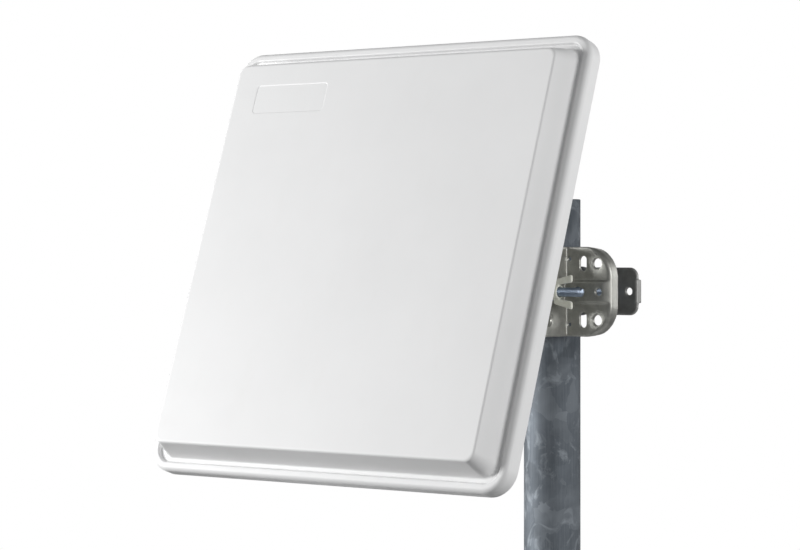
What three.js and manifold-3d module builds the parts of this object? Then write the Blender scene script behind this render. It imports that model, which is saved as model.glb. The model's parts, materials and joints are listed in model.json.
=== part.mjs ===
// Flat-panel antenna on a double-jointed tilt bracket, clamped to a short length of mast.
// Millimetres, +Z up. The origin is the centre of the mast's foot, the panel faces -Y and +X is to its right.

import * as THREE from 'three';
import { mergeVertices } from 'three/addons/utils/BufferGeometryUtils.js';
import Module from 'manifold-3d';

const wasm = await Module();
wasm.setup();

// ---------- Driving dimensions ----------

const GAP = 0.3; // running gap between neighbouring pieces
const SHEET = 3; // pressed steel of the bracket, arms and yoke

// Mast
const MAST_RADIUS = 25;
const MAST_WALL = 2.5;
const MAST_TOP = 401;
const BRACKET_Z = 320; // height of the bracket's centre on the mast

// Mast bracket, measured from the mast's axis and the bracket's centre
const WALL_OUTER_X = 32; // outer faces of the clevis walls
const WALL_FRONT_Y = -66;
const WALL_NOSE_RADIUS = 14;
const EAR_FRONT_Y = -22;
const EAR_BACK_Y = EAR_FRONT_Y + SHEET;
const EAR_REACH = 78.6;
const EAR_HALF_HEIGHT = 39;
const EAR_CORNER = 27;
const RIM_FLANGE_DEPTH = 11;
const RIM_FLANGE_FROM_X = 58;
const SADDLE_RADIUS = MAST_RADIUS + GAP;
const RIB_HALF_BASE = 11;
const RIB_HALF_TOP = 8;
const RIB_HEIGHT = 3.5;
const RIB_HOLLOW_INSET = 2;
const RIB_END_INSET = 1.5;

// Holes in the two halves of the clamp
const CLAMP_BOLT_X = 45;
const OUTER_HOLE_X = 67;
const OUTER_HOLE_RADIUS = 3.3;
const M8_HOLE_RADIUS = 4.5;
const SLOT_X = 49;
const SLOT_HALF_WIDTH = 3.5;
const SLOT_HALF_HEIGHT = 6.6;
const EAR_HOLE_X = 64;
const EAR_HOLE_Z = 24.5;
const WALL_HOLE_Y = -48.2;
const WALL_HOLE_Z = 24.6;
const WALL_HOLE_RADIUS = 5.2;
const RELIEF_HOLE_X = 34.4;
const RELIEF_HOLE_Z = 28.5;
const RELIEF_HOLE_RADIUS = 1.8;

// Rear clamp
const REAR_FRONT_Y = 21.6;
const REAR_REACH = 76;
const REAR_HALF_HEIGHT = 21;
const REAR_CORNER = 8.5;
const END_FLANGE_DEPTH = 7;
const END_FLANGE_HALF_HEIGHT = 10.3;

// Tilt linkage
const LIFT_PIVOT_Y = -44;
const ARM_LENGTH = 127;
const ARM_HALF_HEIGHT = 14;
const SIDE_CLEARANCE = 0.5; // between the walls, the arms and the yoke's ears
const ARM_OUTER_X = WALL_OUTER_X - SHEET - SIDE_CLEARANCE;
const YOKE_OUTER_X = ARM_OUTER_X - SHEET - SIDE_CLEARANCE;
const SPACER_RADIUS = 7;
const YOKE_BASE_HALF_HEIGHT = 45;
const YOKE_EYE_RADIUS = 13;
const YOKE_SHOULDER = 14; // from the base to where its ears begin to taper
const STUD_X = 15;
const STUD_Z = 33;
const PANEL_OFFSET = 112; // tilt pivot to the front of the radome
const REST_TILT = THREE.MathUtils.degToRad(18.7);

// M8 hardware
const M8_RADIUS = 4;
const PIVOT_HOLE_RADIUS = 4.4;
const M8_HEAD_FLATS = 13;
const M8_HEAD_HEIGHT = 5.3;
const M8_NUT_HEIGHT = 6.5;
const M8_WASHER_RADIUS = 8;
const M8_END_SHOWING = 2; // of a bolt past its nut
const WASHER_THICKNESS = 1.6;
const WELD_NUT_STANDOFF = 2.4; // keeps the nut's corners off the rib's sloping sides
const PIVOT_BOLT_TIP_X = 64.5;

// Wing nuts
const WING_HUB_RADIUS = 7;
const WING_HUB_LENGTH = 9;
const WING_LENGTH = 19.3;
const WING_ROOT = [5.4, 10.4]; // inner and outer edge of an ear beside the seat
const WING_TIP = [8.2, 15.2]; // and at its far end
const WING_CORNER = 1.5;
const WING_THICKNESS = 4;

// Radome, half sizes measured from the panel's centre line and depths from its front face
const FACE_HALF = 167.2;
const FACE_CORNER = 8;
const DRAFT = 8; // how far the wall spreads from the face to the groove
const GROOVE_FLOOR_DEPTH = 22;
const RIM_FRONT_DEPTH = 19.6;
const RIM_BACK_DEPTH = 34;
const RIM_HALF = 186.6;
const RIM_CORNER = 21;
const RIM_EDGE = 1.6;
const BEAD_INNER_HALF = 179.5;
const BEAD_INNER_CORNER = 14;
const RADOME_WALL = 2.6;
const RADOME_WALL_ACROSS = 1.6; // the drafted wall is thinner than the face
const CAVITY_HALF = 172.5;
const CAVITY_CORNER = 12;
const GASKET_SEAT_HALF = 175.7;
const GASKET_SEAT_CORNER = 14;
const GASKET_SEAT_DEPTH = 30.1;
const COVER_SEAT_DEPTH = 31.7;
const COVER_SEAT_HALF = 182.8;
const SCREW_HALF = 179.2;
const CORNER_SCREW_HALF = 174.8;
const PILOT_RADIUS = 1.95;
const PILOT_DEPTH = 27; // where the screw holes in the rim end

// Back cover
const COVER_HALF = 182.5;
const COVER_CORNER = 17;
const COVER_THICKNESS = 2;
const PAD_HALF_WIDTH = 62;
const PAD_HALF_HEIGHT = 72;
const PAD_HEIGHT = 6;
const BOARD_POST = 142; // square pattern of the bosses and standoffs
const BOSS_RADIUS = 4.5;
const BOSS_FRONT_DEPTH = 26.1;
const STUD_RADIUS = 3;
const STUD_NUT_FLATS = 10;
const STUD_NUT_HEIGHT = 5;
const STUD_LENGTH = 13;
const STUD_HOLE_RADIUS = 3.3;
const COVER_SCREW_HOLE_RADIUS = 2;
const COVER_SCREW_RADIUS = 1.6;
const COVER_SCREW_HEAD_RADIUS = 3.2;
const COVER_SCREW_HEAD_HEIGHT = 2.2;
const PAD_CORNER = 12;

// Inside of the panel, depths from the radome's front face
const TRAY_HALF = 158;
const TRAY_FRONT_DEPTH = 24.3;
const TRAY_THICKNESS = 1.5;
const TRAY_EDGE_DEPTH = 12;
const TRAY_CORNER = 6;
const BOARD_HALF = 150;
const BOARD_CORNER = 4;
const BOARD_FRONT_DEPTH = 13;
const BOARD_THICKNESS = 1.6;
const ARRAY_FRONT_DEPTH = 12.2;
const ARRAY_THICKNESS = 0.5;
const PATCH_SIDE = 46;
const PATCH_PITCH = 74;
const TRACE_WIDTH = 3;
const STANDOFF_FRONT_DEPTH = 14.9;
const STANDOFF_BACK_DEPTH = 24;
const M3_RADIUS = 1.4;
const M3_HOLE_RADIUS = 1.8;
const M3_HEAD_RADIUS = 2.75;
const M3_HEAD_HEIGHT = 1.8;
const SCREW_LENGTH = 6;
const STANDOFF_FLATS = 6;
const FEED_HOLE_RADIUS = 1.2; // through the board and its copper
const TRAY_HOLE_RADIUS = 4; // where the coax passes the tray

// Connector and vent, on the lower half of the back cover
const CONNECTOR_Z = -115;
const CONNECTOR_RADIUS = 7.9;
const CONNECTOR_BORE_RADIUS = 5.4;
const CONNECTOR_TIP_DEPTH = 58;
const CONNECTOR_FLATS = 19;
const CONNECTOR_FLANGE = [29.2, 31.7]; // front and back of its hex flange, inside the cover
const CONNECTOR_GASKET_RADIUS = 11;
const CONNECTOR_GASKET_THICKNESS = 1.5;
const CONNECTOR_NUT_FLATS = 20;
const CONNECTOR_NUT_HEIGHT = 4;
const INSULATOR_BACK_DEPTH = 44;
const PIN_RADIUS = 1.5;
const PIN_TIP_DEPTH = 52;
const COAX_RADIUS = 1.8;
const COAX_DEPTH = 29; // of its run behind the reflector tray
const COAX_BEND = 3;
const COAX_CORE_RADIUS = 0.8;
const VENT_X = 90;
const VENT_Z = -150;
const VENT_HEAD_RADIUS = 6;
const VENT_HEAD_HEIGHT = 2.5;
const VENT_STEM_RADIUS = 2.4;
const VENT_STEM_LENGTH = 5.3;

// ---------- Materials ----------

function finish(color, roughness, metalness) {
  return new THREE.MeshStandardMaterial({ color, roughness, metalness });
}

const radomeWhite = () => finish(0xe9eaec, 0.5, 0);
const coverGrey = () => finish(0xc9cbcc, 0.45, 0.6);
const rubber = () => finish(0x202224, 0.85, 0);
const bracketSteel = () => finish(0x55554f, 0.55, 0.7);
const clampSteel = () => finish(0x42423f, 0.6, 0.7);
const mastZinc = () => finish(0x6f7a82, 0.5, 0.8);
const blueZinc = () => finish(0x6c7f99, 0.3, 0.9);
const castZinc = () => finish(0xb5b59f, 0.5, 0.8);
const aluminium = () => finish(0xbfc3c6, 0.4, 0.9);
const boardGreen = () => finish(0x2f5a3a, 0.5, 0);
const copper = () => finish(0xc27f4f, 0.35, 0.9);
const nickel = () => finish(0xc4c0b4, 0.25, 0.95);
const ptfe = () => finish(0xf4f4f0, 0.5, 0);
const blackPlastic = () => finish(0x1c1d1f, 0.6, 0);

// ---------- Solids ----------

/** A three.js geometry as a solid that can be joined and cut. */
function solid(geometry) {
  geometry.deleteAttribute('normal');
  geometry.deleteAttribute('uv');
  const merged = mergeVertices(geometry, 1e-4);
  return new wasm.Manifold(new wasm.Mesh({
    numProp: 3,
    vertProperties: Float32Array.from(merged.attributes.position.array),
    triVerts: Uint32Array.from(merged.index.array),
  }));
}

/** A named mesh of a solid. */
function piece(name, body, material) {
  const { vertProperties, triVerts } = body.getMesh();
  const geometry = new THREE.BufferGeometry();
  geometry.setAttribute('position', new THREE.BufferAttribute(vertProperties, 3));
  geometry.setIndex(new THREE.BufferAttribute(triVerts, 1));
  geometry.computeVertexNormals();
  const mesh = new THREE.Mesh(geometry, material);
  mesh.name = name;
  return mesh;
}

const join = (first, ...others) => others.reduce((whole, next) => whole.add(next), first);
const cut = (first, ...others) => others.reduce((whole, next) => whole.subtract(next), first);

/** A box between two values on each axis. */
function box([x0, x1], [y0, y1], [z0, z1]) {
  const geometry = new THREE.BoxGeometry(x1 - x0, y1 - y0, z1 - z0);
  geometry.translate((x0 + x1) / 2, (y0 + y1) / 2, (z0 + z1) / 2);
  return solid(geometry);
}

/** Rods along each axis, between two values on it; `at` holds the other two coordinates in XYZ order. */
function rodX(radius, [x0, x1], at = [0, 0], sides = 18) {
  const geometry = new THREE.CylinderGeometry(radius, radius, x1 - x0, sides);
  geometry.rotateZ(-Math.PI / 2);
  geometry.translate((x0 + x1) / 2, at[0], at[1]);
  return solid(geometry);
}

function rodY(radius, [y0, y1], at = [0, 0], sides = 18) {
  const geometry = new THREE.CylinderGeometry(radius, radius, y1 - y0, sides);
  geometry.translate(at[0], (y0 + y1) / 2, at[1]);
  return solid(geometry);
}

function rodZ(radius, [z0, z1], at = [0, 0], sides = 36) {
  const geometry = new THREE.CylinderGeometry(radius, radius, z1 - z0, sides);
  geometry.rotateX(Math.PI / 2);
  geometry.translate(at[0], at[1], (z0 + z1) / 2);
  return solid(geometry);
}

const hexRadius = (acrossFlats) => acrossFlats / Math.sqrt(3);

const SHAPE_TO_YZ = new THREE.Matrix4().makeBasis(
  new THREE.Vector3(0, 1, 0),
  new THREE.Vector3(0, 0, 1),
  new THREE.Vector3(1, 0, 0),
);
const SHAPE_TO_XZ = new THREE.Matrix4().makeBasis(
  new THREE.Vector3(1, 0, 0),
  new THREE.Vector3(0, 0, 1),
  new THREE.Vector3(0, -1, 0),
);

/** A YZ outline extruded along X. */
function slabX(outline, [x0, x1], curveSegments = 4) {
  const geometry = new THREE.ExtrudeGeometry(outline, { depth: x1 - x0, bevelEnabled: false, curveSegments });
  geometry.applyMatrix4(SHAPE_TO_YZ);
  geometry.translate(x0, 0, 0);
  return solid(geometry);
}

/** An XZ outline extruded along Y. */
function slabY(outline, [y0, y1], curveSegments = 3) {
  const geometry = new THREE.ExtrudeGeometry(outline, { depth: y1 - y0, bevelEnabled: false, curveSegments });
  geometry.applyMatrix4(SHAPE_TO_XZ);
  geometry.translate(0, y1, 0);
  return solid(geometry);
}

// ---------- Outlines ----------

/** A rectangle with round corners, about its own centre. */
function roundedRectangle(halfWidth, halfHeight, radius) {
  const outline = new THREE.Shape();
  const x = halfWidth - radius;
  const y = halfHeight - radius;
  outline.absarc(x, y, radius, 0, Math.PI / 2, false);
  outline.absarc(-x, y, radius, Math.PI / 2, Math.PI, false);
  outline.absarc(-x, -y, radius, Math.PI, 1.5 * Math.PI, false);
  outline.absarc(x, -y, radius, 1.5 * Math.PI, 2 * Math.PI, false);
  return outline;
}

const roundedSquare = (half, radius) => roundedRectangle(half, half, radius);

function polygon(points) {
  return new THREE.Shape(points.map(([x, y]) => new THREE.Vector2(x, y)));
}

/** A bar with round ends, `reach` from centre to centre along -X of the outline. */
function bar(reach, radius) {
  const outline = new THREE.Shape();
  outline.absarc(0, 0, radius, -Math.PI / 2, Math.PI / 2, false);
  outline.absarc(-reach, 0, radius, Math.PI / 2, 1.5 * Math.PI, false);
  return outline;
}

// ---------- Hardware, each along +X from its seat at X = 0 ----------

/** A hex bolt whose head is on the -X side of the seat. */
function hexBolt(length) {
  const head = rodX(hexRadius(M8_HEAD_FLATS), [-M8_HEAD_HEIGHT, 0], [0, 0], 6);
  return join(head, rodX(M8_RADIUS, [-1, length]));
}

function nut(acrossFlats, height, boreRadius) {
  const hex = rodX(hexRadius(acrossFlats), [0, height], [0, 0], 6);
  return cut(hex, rodX(boreRadius, [-1, height + 1]));
}

function ring(outerRadius, innerRadius, thickness) {
  return cut(rodX(outerRadius, [0, thickness]), rodX(innerRadius, [-1, thickness + 1]));
}

const m8Nut = () => nut(M8_HEAD_FLATS, M8_NUT_HEIGHT, M8_RADIUS + GAP);
const m8Washer = () => ring(M8_WASHER_RADIUS, M8_HOLE_RADIUS, WASHER_THICKNESS);

/** Two ears lean away from the hub on opposite sides, in the XZ plane. */
function wingNut() {
  let body = rodX(WING_HUB_RADIUS, [0, WING_HUB_LENGTH]);
  for (const side of [-1, 1]) {
    const ear = polygon([
      [1, side * WING_ROOT[0]],
      [WING_LENGTH, side * WING_TIP[0]],
      [WING_LENGTH, side * (WING_TIP[1] - WING_CORNER)],
      [WING_LENGTH - WING_CORNER, side * WING_TIP[1]],
      [1, side * WING_ROOT[1]],
    ]);
    body = body.add(slabY(ear, [-WING_THICKNESS / 2, WING_THICKNESS / 2]));
  }
  return body.subtract(rodX(M8_RADIUS + GAP, [-1, WING_LENGTH]));
}

/** A pan-head screw along +X, its head on the -X side of the seat. */
function panScrew(headRadius, headHeight, shankRadius, length) {
  const head = rodX(headRadius, [-headHeight, 0], [0, 0], 16);
  return join(head, rodX(shankRadius, [-0.5, length], [0, 0], 12));
}

function placed(mesh, [x, y, z], [rx, ry, rz] = [0, 0, 0]) {
  mesh.position.set(x, y, z);
  mesh.rotation.set(rx, ry, rz);
  return mesh;
}

const FACING_BACK = [0, 0, Math.PI / 2]; // turns a piece made along +X to lie along +Y
const FACING_FRONT = [0, 0, -Math.PI / 2]; // and along -Y

// ---------- Mast ----------

function mastTube() {
  const outside = rodZ(MAST_RADIUS, [0, MAST_TOP]);
  return cut(outside, rodZ(MAST_RADIUS - MAST_WALL, [-1, MAST_TOP + 1]));
}

// ---------- Mast clamp, about the bracket's centre on the mast's axis ----------

function clevisWall(side) {
  const inner = WALL_OUTER_X - SHEET;
  const across = side > 0 ? [inner, WALL_OUTER_X] : [-WALL_OUTER_X, -inner];
  const outline = new THREE.Shape();
  outline.moveTo(EAR_FRONT_Y + 1, -EAR_HALF_HEIGHT);
  outline.lineTo(EAR_FRONT_Y + 1, EAR_HALF_HEIGHT);
  const noseY = WALL_FRONT_Y + WALL_NOSE_RADIUS;
  const noseZ = EAR_HALF_HEIGHT - WALL_NOSE_RADIUS;
  outline.absarc(noseY, noseZ, WALL_NOSE_RADIUS, Math.PI / 2, Math.PI, false);
  outline.absarc(noseY, -noseZ, WALL_NOSE_RADIUS, Math.PI, 1.5 * Math.PI, false);
  const through = [-WALL_OUTER_X - 1, WALL_OUTER_X + 1];
  return cut(
    slabX(outline, across),
    rodX(PIVOT_HOLE_RADIUS, through, [LIFT_PIVOT_Y, 0]),
    rodX(WALL_HOLE_RADIUS, through, [WALL_HOLE_Y, WALL_HOLE_Z]),
    rodX(WALL_HOLE_RADIUS, through, [WALL_HOLE_Y, -WALL_HOLE_Z]),
  );
}

/** The raised rib that runs across both ears, drawn `inset` smaller for its hollow back. */
function ribPrism(inset, front, back, reach) {
  const outline = polygon([
    [back, -RIB_HALF_BASE + inset],
    [back, RIB_HALF_BASE - inset],
    [EAR_FRONT_Y + front, RIB_HALF_BASE - inset],
    [EAR_FRONT_Y - RIB_HEIGHT + front, RIB_HALF_TOP - inset],
    [EAR_FRONT_Y - RIB_HEIGHT + front, -RIB_HALF_TOP + inset],
    [EAR_FRONT_Y + front, -RIB_HALF_BASE + inset],
  ]);
  return slabX(outline, [-reach, reach]);
}

/** The turned rim behind the round end of each ear. */
function rimFlange() {
  const outer = roundedRectangle(EAR_REACH, EAR_HALF_HEIGHT, EAR_CORNER);
  const inner = roundedRectangle(EAR_REACH - SHEET, EAR_HALF_HEIGHT - SHEET, EAR_CORNER - SHEET);
  const depth = [EAR_FRONT_Y + 1, EAR_FRONT_Y + RIM_FLANGE_DEPTH];
  const tall = [-EAR_HALF_HEIGHT - 1, EAR_HALF_HEIGHT + 1];
  return cut(
    slabY(outer, depth),
    slabY(inner, [EAR_FRONT_Y, EAR_FRONT_Y + RIM_FLANGE_DEPTH + 1]),
    box([-RIM_FLANGE_FROM_X, RIM_FLANGE_FROM_X], [EAR_FRONT_Y, 0], tall),
  );
}

function earHoles() {
  const through = [EAR_FRONT_Y - RIB_HEIGHT - 1, EAR_BACK_Y + 1];
  const holes = [];
  for (const side of [-1, 1]) {
    holes.push(rodY(M8_HOLE_RADIUS, through, [side * CLAMP_BOLT_X, 0]));
    holes.push(rodY(OUTER_HOLE_RADIUS, through, [side * OUTER_HOLE_X, 0]));
    for (const level of [-1, 1]) {
      const slot = slabY(roundedRectangle(SLOT_HALF_WIDTH, SLOT_HALF_HEIGHT, SLOT_HALF_WIDTH), through, 2);
      holes.push(slot.translate([side * SLOT_X, 0, level * EAR_HOLE_Z]));
      holes.push(rodY(M8_HOLE_RADIUS, through, [side * EAR_HOLE_X, level * EAR_HOLE_Z]));
      holes.push(rodY(RELIEF_HOLE_RADIUS, through, [side * RELIEF_HOLE_X, level * RELIEF_HOLE_Z], 8));
    }
  }
  return holes;
}

function mastBracket() {
  const ears = slabY(roundedRectangle(EAR_REACH, EAR_HALF_HEIGHT, EAR_CORNER), [EAR_FRONT_Y, EAR_BACK_Y]);
  const tall = [-EAR_HALF_HEIGHT, EAR_HALF_HEIGHT];
  const bulge = rodZ(SADDLE_RADIUS + SHEET, tall)
    .intersect(box([-40, 40], [-40, EAR_BACK_Y], [-EAR_HALF_HEIGHT - 1, EAR_HALF_HEIGHT + 1]));
  const ribReach = EAR_REACH - RIB_END_INSET;
  const plate = join(
    ears,
    rimFlange(),
    ribPrism(0, 0, EAR_BACK_Y - 0.5, ribReach),
    bulge,
    clevisWall(-1),
    clevisWall(1),
  );
  const hollow = ribPrism(RIB_HOLLOW_INSET, SHEET, EAR_BACK_Y + 1, ribReach - SHEET);
  const mast = rodZ(SADDLE_RADIUS, [-EAR_HALF_HEIGHT - 1, EAR_HALF_HEIGHT + 1]);
  return cut(plate, hollow, mast, ...earHoles());
}

function rearClamp() {
  const back = REAR_FRONT_Y + SHEET;
  const tall = [-REAR_HALF_HEIGHT, REAR_HALF_HEIGHT];
  const plate = slabY(roundedRectangle(REAR_REACH, REAR_HALF_HEIGHT, REAR_CORNER), [REAR_FRONT_Y, back]);
  const bulge = rodZ(SADDLE_RADIUS + SHEET, tall).intersect(box([-40, 40], [REAR_FRONT_Y, 40], [-30, 30]));
  let body = join(plate, bulge);
  for (const side of [-1, 1]) {
    const reach = side > 0 ? [REAR_REACH - SHEET, REAR_REACH] : [-REAR_REACH, -REAR_REACH + SHEET];
    const flangeHeight = [-END_FLANGE_HALF_HEIGHT, END_FLANGE_HALF_HEIGHT];
    body = body.add(box(reach, [REAR_FRONT_Y, REAR_FRONT_Y + END_FLANGE_DEPTH], flangeHeight));
  }
  const through = [REAR_FRONT_Y - 1, back + 1];
  const holes = [];
  for (const side of [-1, 1]) {
    holes.push(rodY(M8_HOLE_RADIUS, through, [side * CLAMP_BOLT_X, 0]));
    holes.push(rodY(OUTER_HOLE_RADIUS, through, [side * OUTER_HOLE_X, 0]));
  }
  return cut(body, rodZ(SADDLE_RADIUS, [-30, 30]), ...holes);
}

function mastClamp() {
  const clamp = new THREE.Group();
  clamp.position.z = BRACKET_Z;
  clamp.add(piece('mast_bracket', mastBracket(), bracketSteel()));
  clamp.add(piece('rear_clamp', rearClamp(), clampSteel()));

  const ribBackY = EAR_BACK_Y - RIB_HEIGHT;
  const washerY = REAR_FRONT_Y + SHEET + GAP;
  const headY = washerY + WASHER_THICKNESS + GAP;
  const boltLength = headY - (EAR_FRONT_Y - RIB_HEIGHT) - 1;
  for (const [label, side] of [['left', -1], ['right', 1]]) {
    const x = side * CLAMP_BOLT_X;
    const bolt = piece(`clamp_bolt_${label}`, hexBolt(boltLength), blueZinc());
    const washer = piece(`clamp_washer_${label}`, m8Washer(), blueZinc());
    const weldNut = piece(`clamp_nut_${label}`, m8Nut(), blueZinc());
    clamp.add(placed(bolt, [x, headY, 0], FACING_FRONT));
    clamp.add(placed(washer, [x, washerY, 0], FACING_BACK));
    clamp.add(placed(weldNut, [x, ribBackY + WELD_NUT_STANDOFF, 0], FACING_BACK));
  }

  const liftBolt = hexBolt(PIVOT_BOLT_TIP_X + WALL_OUTER_X + GAP);
  clamp.add(placed(piece('lift_pivot_bolt', liftBolt, blueZinc()), [-WALL_OUTER_X - GAP, LIFT_PIVOT_Y, 0]));
  const washer = piece('lift_washer', m8Washer(), blueZinc());
  clamp.add(placed(washer, [WALL_OUTER_X + GAP, LIFT_PIVOT_Y, 0]));
  const wing = piece('lift_wing_nut', wingNut(), castZinc());
  clamp.add(placed(wing, [WALL_OUTER_X + WASHER_THICKNESS + 2 * GAP, LIFT_PIVOT_Y, 0]));
  return clamp;
}

// ---------- Tilt arms, about the lift pivot and running along -Y to the tilt pivot ----------

function tiltArm(side) {
  const inner = ARM_OUTER_X - SHEET;
  const across = side > 0 ? [inner, ARM_OUTER_X] : [-ARM_OUTER_X, -inner];
  const through = [across[0] - 1, across[1] + 1];
  return cut(
    slabX(bar(ARM_LENGTH, ARM_HALF_HEIGHT), across, 5),
    rodX(PIVOT_HOLE_RADIUS, through),
    rodX(PIVOT_HOLE_RADIUS, through, [-ARM_LENGTH / 2, 0]),
    rodX(PIVOT_HOLE_RADIUS, through, [-ARM_LENGTH, 0]),
  );
}

function arms() {
  const linkage = new THREE.Group();
  linkage.position.set(0, LIFT_PIVOT_Y, BRACKET_Z);
  linkage.add(piece('arm_left', tiltArm(-1), bracketSteel()));
  linkage.add(piece('arm_right', tiltArm(1), bracketSteel()));

  const middle = -ARM_LENGTH / 2;
  const spacerHalf = ARM_OUTER_X - SHEET - GAP;
  const spacer = piece('arm_spacer', ring(SPACER_RADIUS, PIVOT_HOLE_RADIUS, 2 * spacerHalf), aluminium());
  linkage.add(placed(spacer, [-spacerHalf, middle, 0]));
  const seat = ARM_OUTER_X + GAP;
  const tieNutEnd = seat + M8_NUT_HEIGHT + M8_END_SHOWING;
  linkage.add(placed(piece('arm_tie_bolt', hexBolt(seat + tieNutEnd), blueZinc()), [-seat, middle, 0]));
  const tieNut = piece('arm_tie_nut', m8Nut(), blueZinc());
  linkage.add(placed(tieNut, [seat, middle, 0]));

  const tiltBolt = piece('tilt_pivot_bolt', hexBolt(seat + PIVOT_BOLT_TIP_X), blueZinc());
  linkage.add(placed(tiltBolt, [-seat, -ARM_LENGTH, 0]));
  const washer = piece('tilt_washer', m8Washer(), blueZinc());
  linkage.add(placed(washer, [seat, -ARM_LENGTH, 0]));
  const wing = piece('tilt_wing_nut', wingNut(), castZinc());
  linkage.add(placed(wing, [seat + WASHER_THICKNESS + GAP, -ARM_LENGTH, 0]));
  return linkage;
}

// ---------- Panel, about the tilt pivot, facing -Y before it is tilted ----------

/** Depth behind the radome's front face as a Y coordinate. */
const atDepth = (depth) => depth - PANEL_OFFSET;

/** A rounded-square slab between two depths. */
function squareSlab(half, radius, [near, far]) {
  return slabY(roundedSquare(half, radius), [atDepth(near), atDepth(far)]);
}

/** A rounded square that spreads by `draft` from its front to its back, its front edge at `near`. */
function draftedSlab(half, radius, draft, [near, far]) {
  const geometry = new THREE.ExtrudeGeometry(roundedSquare(half, radius), {
    depth: 1,
    bevelThickness: far - near,
    bevelSize: draft,
    bevelSegments: 1,
    curveSegments: 3,
  });
  geometry.applyMatrix4(SHAPE_TO_XZ);
  geometry.translate(0, atDepth(far), 0);
  const behind = box([-RIM_HALF, RIM_HALF], [atDepth(near), atDepth(far)], [-RIM_HALF, RIM_HALF]);
  return solid(geometry.rotateZ(Math.PI).translate(0, 2 * atDepth(far), 0)).intersect(behind);
}

/** Positions of the eight cover screws: the four corners and the middle of each side. */
const COVER_SCREWS = [
  [-CORNER_SCREW_HALF, CORNER_SCREW_HALF],
  [0, SCREW_HALF],
  [CORNER_SCREW_HALF, CORNER_SCREW_HALF],
  [SCREW_HALF, 0],
  [CORNER_SCREW_HALF, -CORNER_SCREW_HALF],
  [0, -SCREW_HALF],
  [-CORNER_SCREW_HALF, -CORNER_SCREW_HALF],
  [-SCREW_HALF, 0],
];

/** Positions of the four standoffs. */
const POSTS = [
  [-BOARD_POST, BOARD_POST],
  [BOARD_POST, BOARD_POST],
  [BOARD_POST, -BOARD_POST],
  [-BOARD_POST, -BOARD_POST],
];

const STUDS = [
  [-STUD_X, STUD_Z],
  [STUD_X, STUD_Z],
  [STUD_X, -STUD_Z],
  [-STUD_X, -STUD_Z],
];

function radome() {
  const rimSquare = roundedSquare(RIM_HALF - RIM_EDGE, RIM_CORNER - RIM_EDGE);
  const rimGeometry = new THREE.ExtrudeGeometry(rimSquare, {
    depth: RIM_BACK_DEPTH - RIM_FRONT_DEPTH - 2 * RIM_EDGE,
    bevelThickness: RIM_EDGE,
    bevelSize: RIM_EDGE,
    bevelSegments: 1,
    curveSegments: 4,
  });
  rimGeometry.applyMatrix4(SHAPE_TO_XZ);
  rimGeometry.translate(0, atDepth(RIM_BACK_DEPTH - RIM_EDGE), 0);
  const groove = squareSlab(BEAD_INNER_HALF, BEAD_INNER_CORNER, [RIM_FRONT_DEPTH - 1, GROOVE_FLOOR_DEPTH]);
  const outside = join(
    cut(solid(rimGeometry), groove),
    draftedSlab(FACE_HALF, FACE_CORNER, DRAFT, [0, GROOVE_FLOOR_DEPTH + 1]),
  );
  const insideHalf = FACE_HALF - RADOME_WALL_ACROSS;
  const innerFace = draftedSlab(
    insideHalf,
    FACE_CORNER - RADOME_WALL_ACROSS,
    CAVITY_HALF - insideHalf,
    [RADOME_WALL, GROOVE_FLOOR_DEPTH],
  );
  const pilotDepth = [atDepth(PILOT_DEPTH), atDepth(COVER_SEAT_DEPTH + 1)];
  const pilots = COVER_SCREWS.map((at) => rodY(PILOT_RADIUS, pilotDepth, at, 12));
  return cut(
    outside,
    innerFace,
    squareSlab(CAVITY_HALF, CAVITY_CORNER, [GROOVE_FLOOR_DEPTH - 0.5, COVER_SEAT_DEPTH + 1]),
    squareSlab(GASKET_SEAT_HALF, GASKET_SEAT_CORNER, [GASKET_SEAT_DEPTH, COVER_SEAT_DEPTH + 1]),
    squareSlab(COVER_SEAT_HALF, COVER_CORNER, [COVER_SEAT_DEPTH, RIM_BACK_DEPTH + 1]),
    ...pilots,
  );
}

function rimGasket() {
  const near = GASKET_SEAT_DEPTH + GAP;
  const outer = squareSlab(GASKET_SEAT_HALF - GAP, GASKET_SEAT_CORNER, [near, COVER_SEAT_DEPTH]);
  const inside = squareSlab(CAVITY_HALF + GAP, CAVITY_CORNER, [near - 1, COVER_SEAT_DEPTH + 1]);
  return outer.subtract(inside);
}

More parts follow.
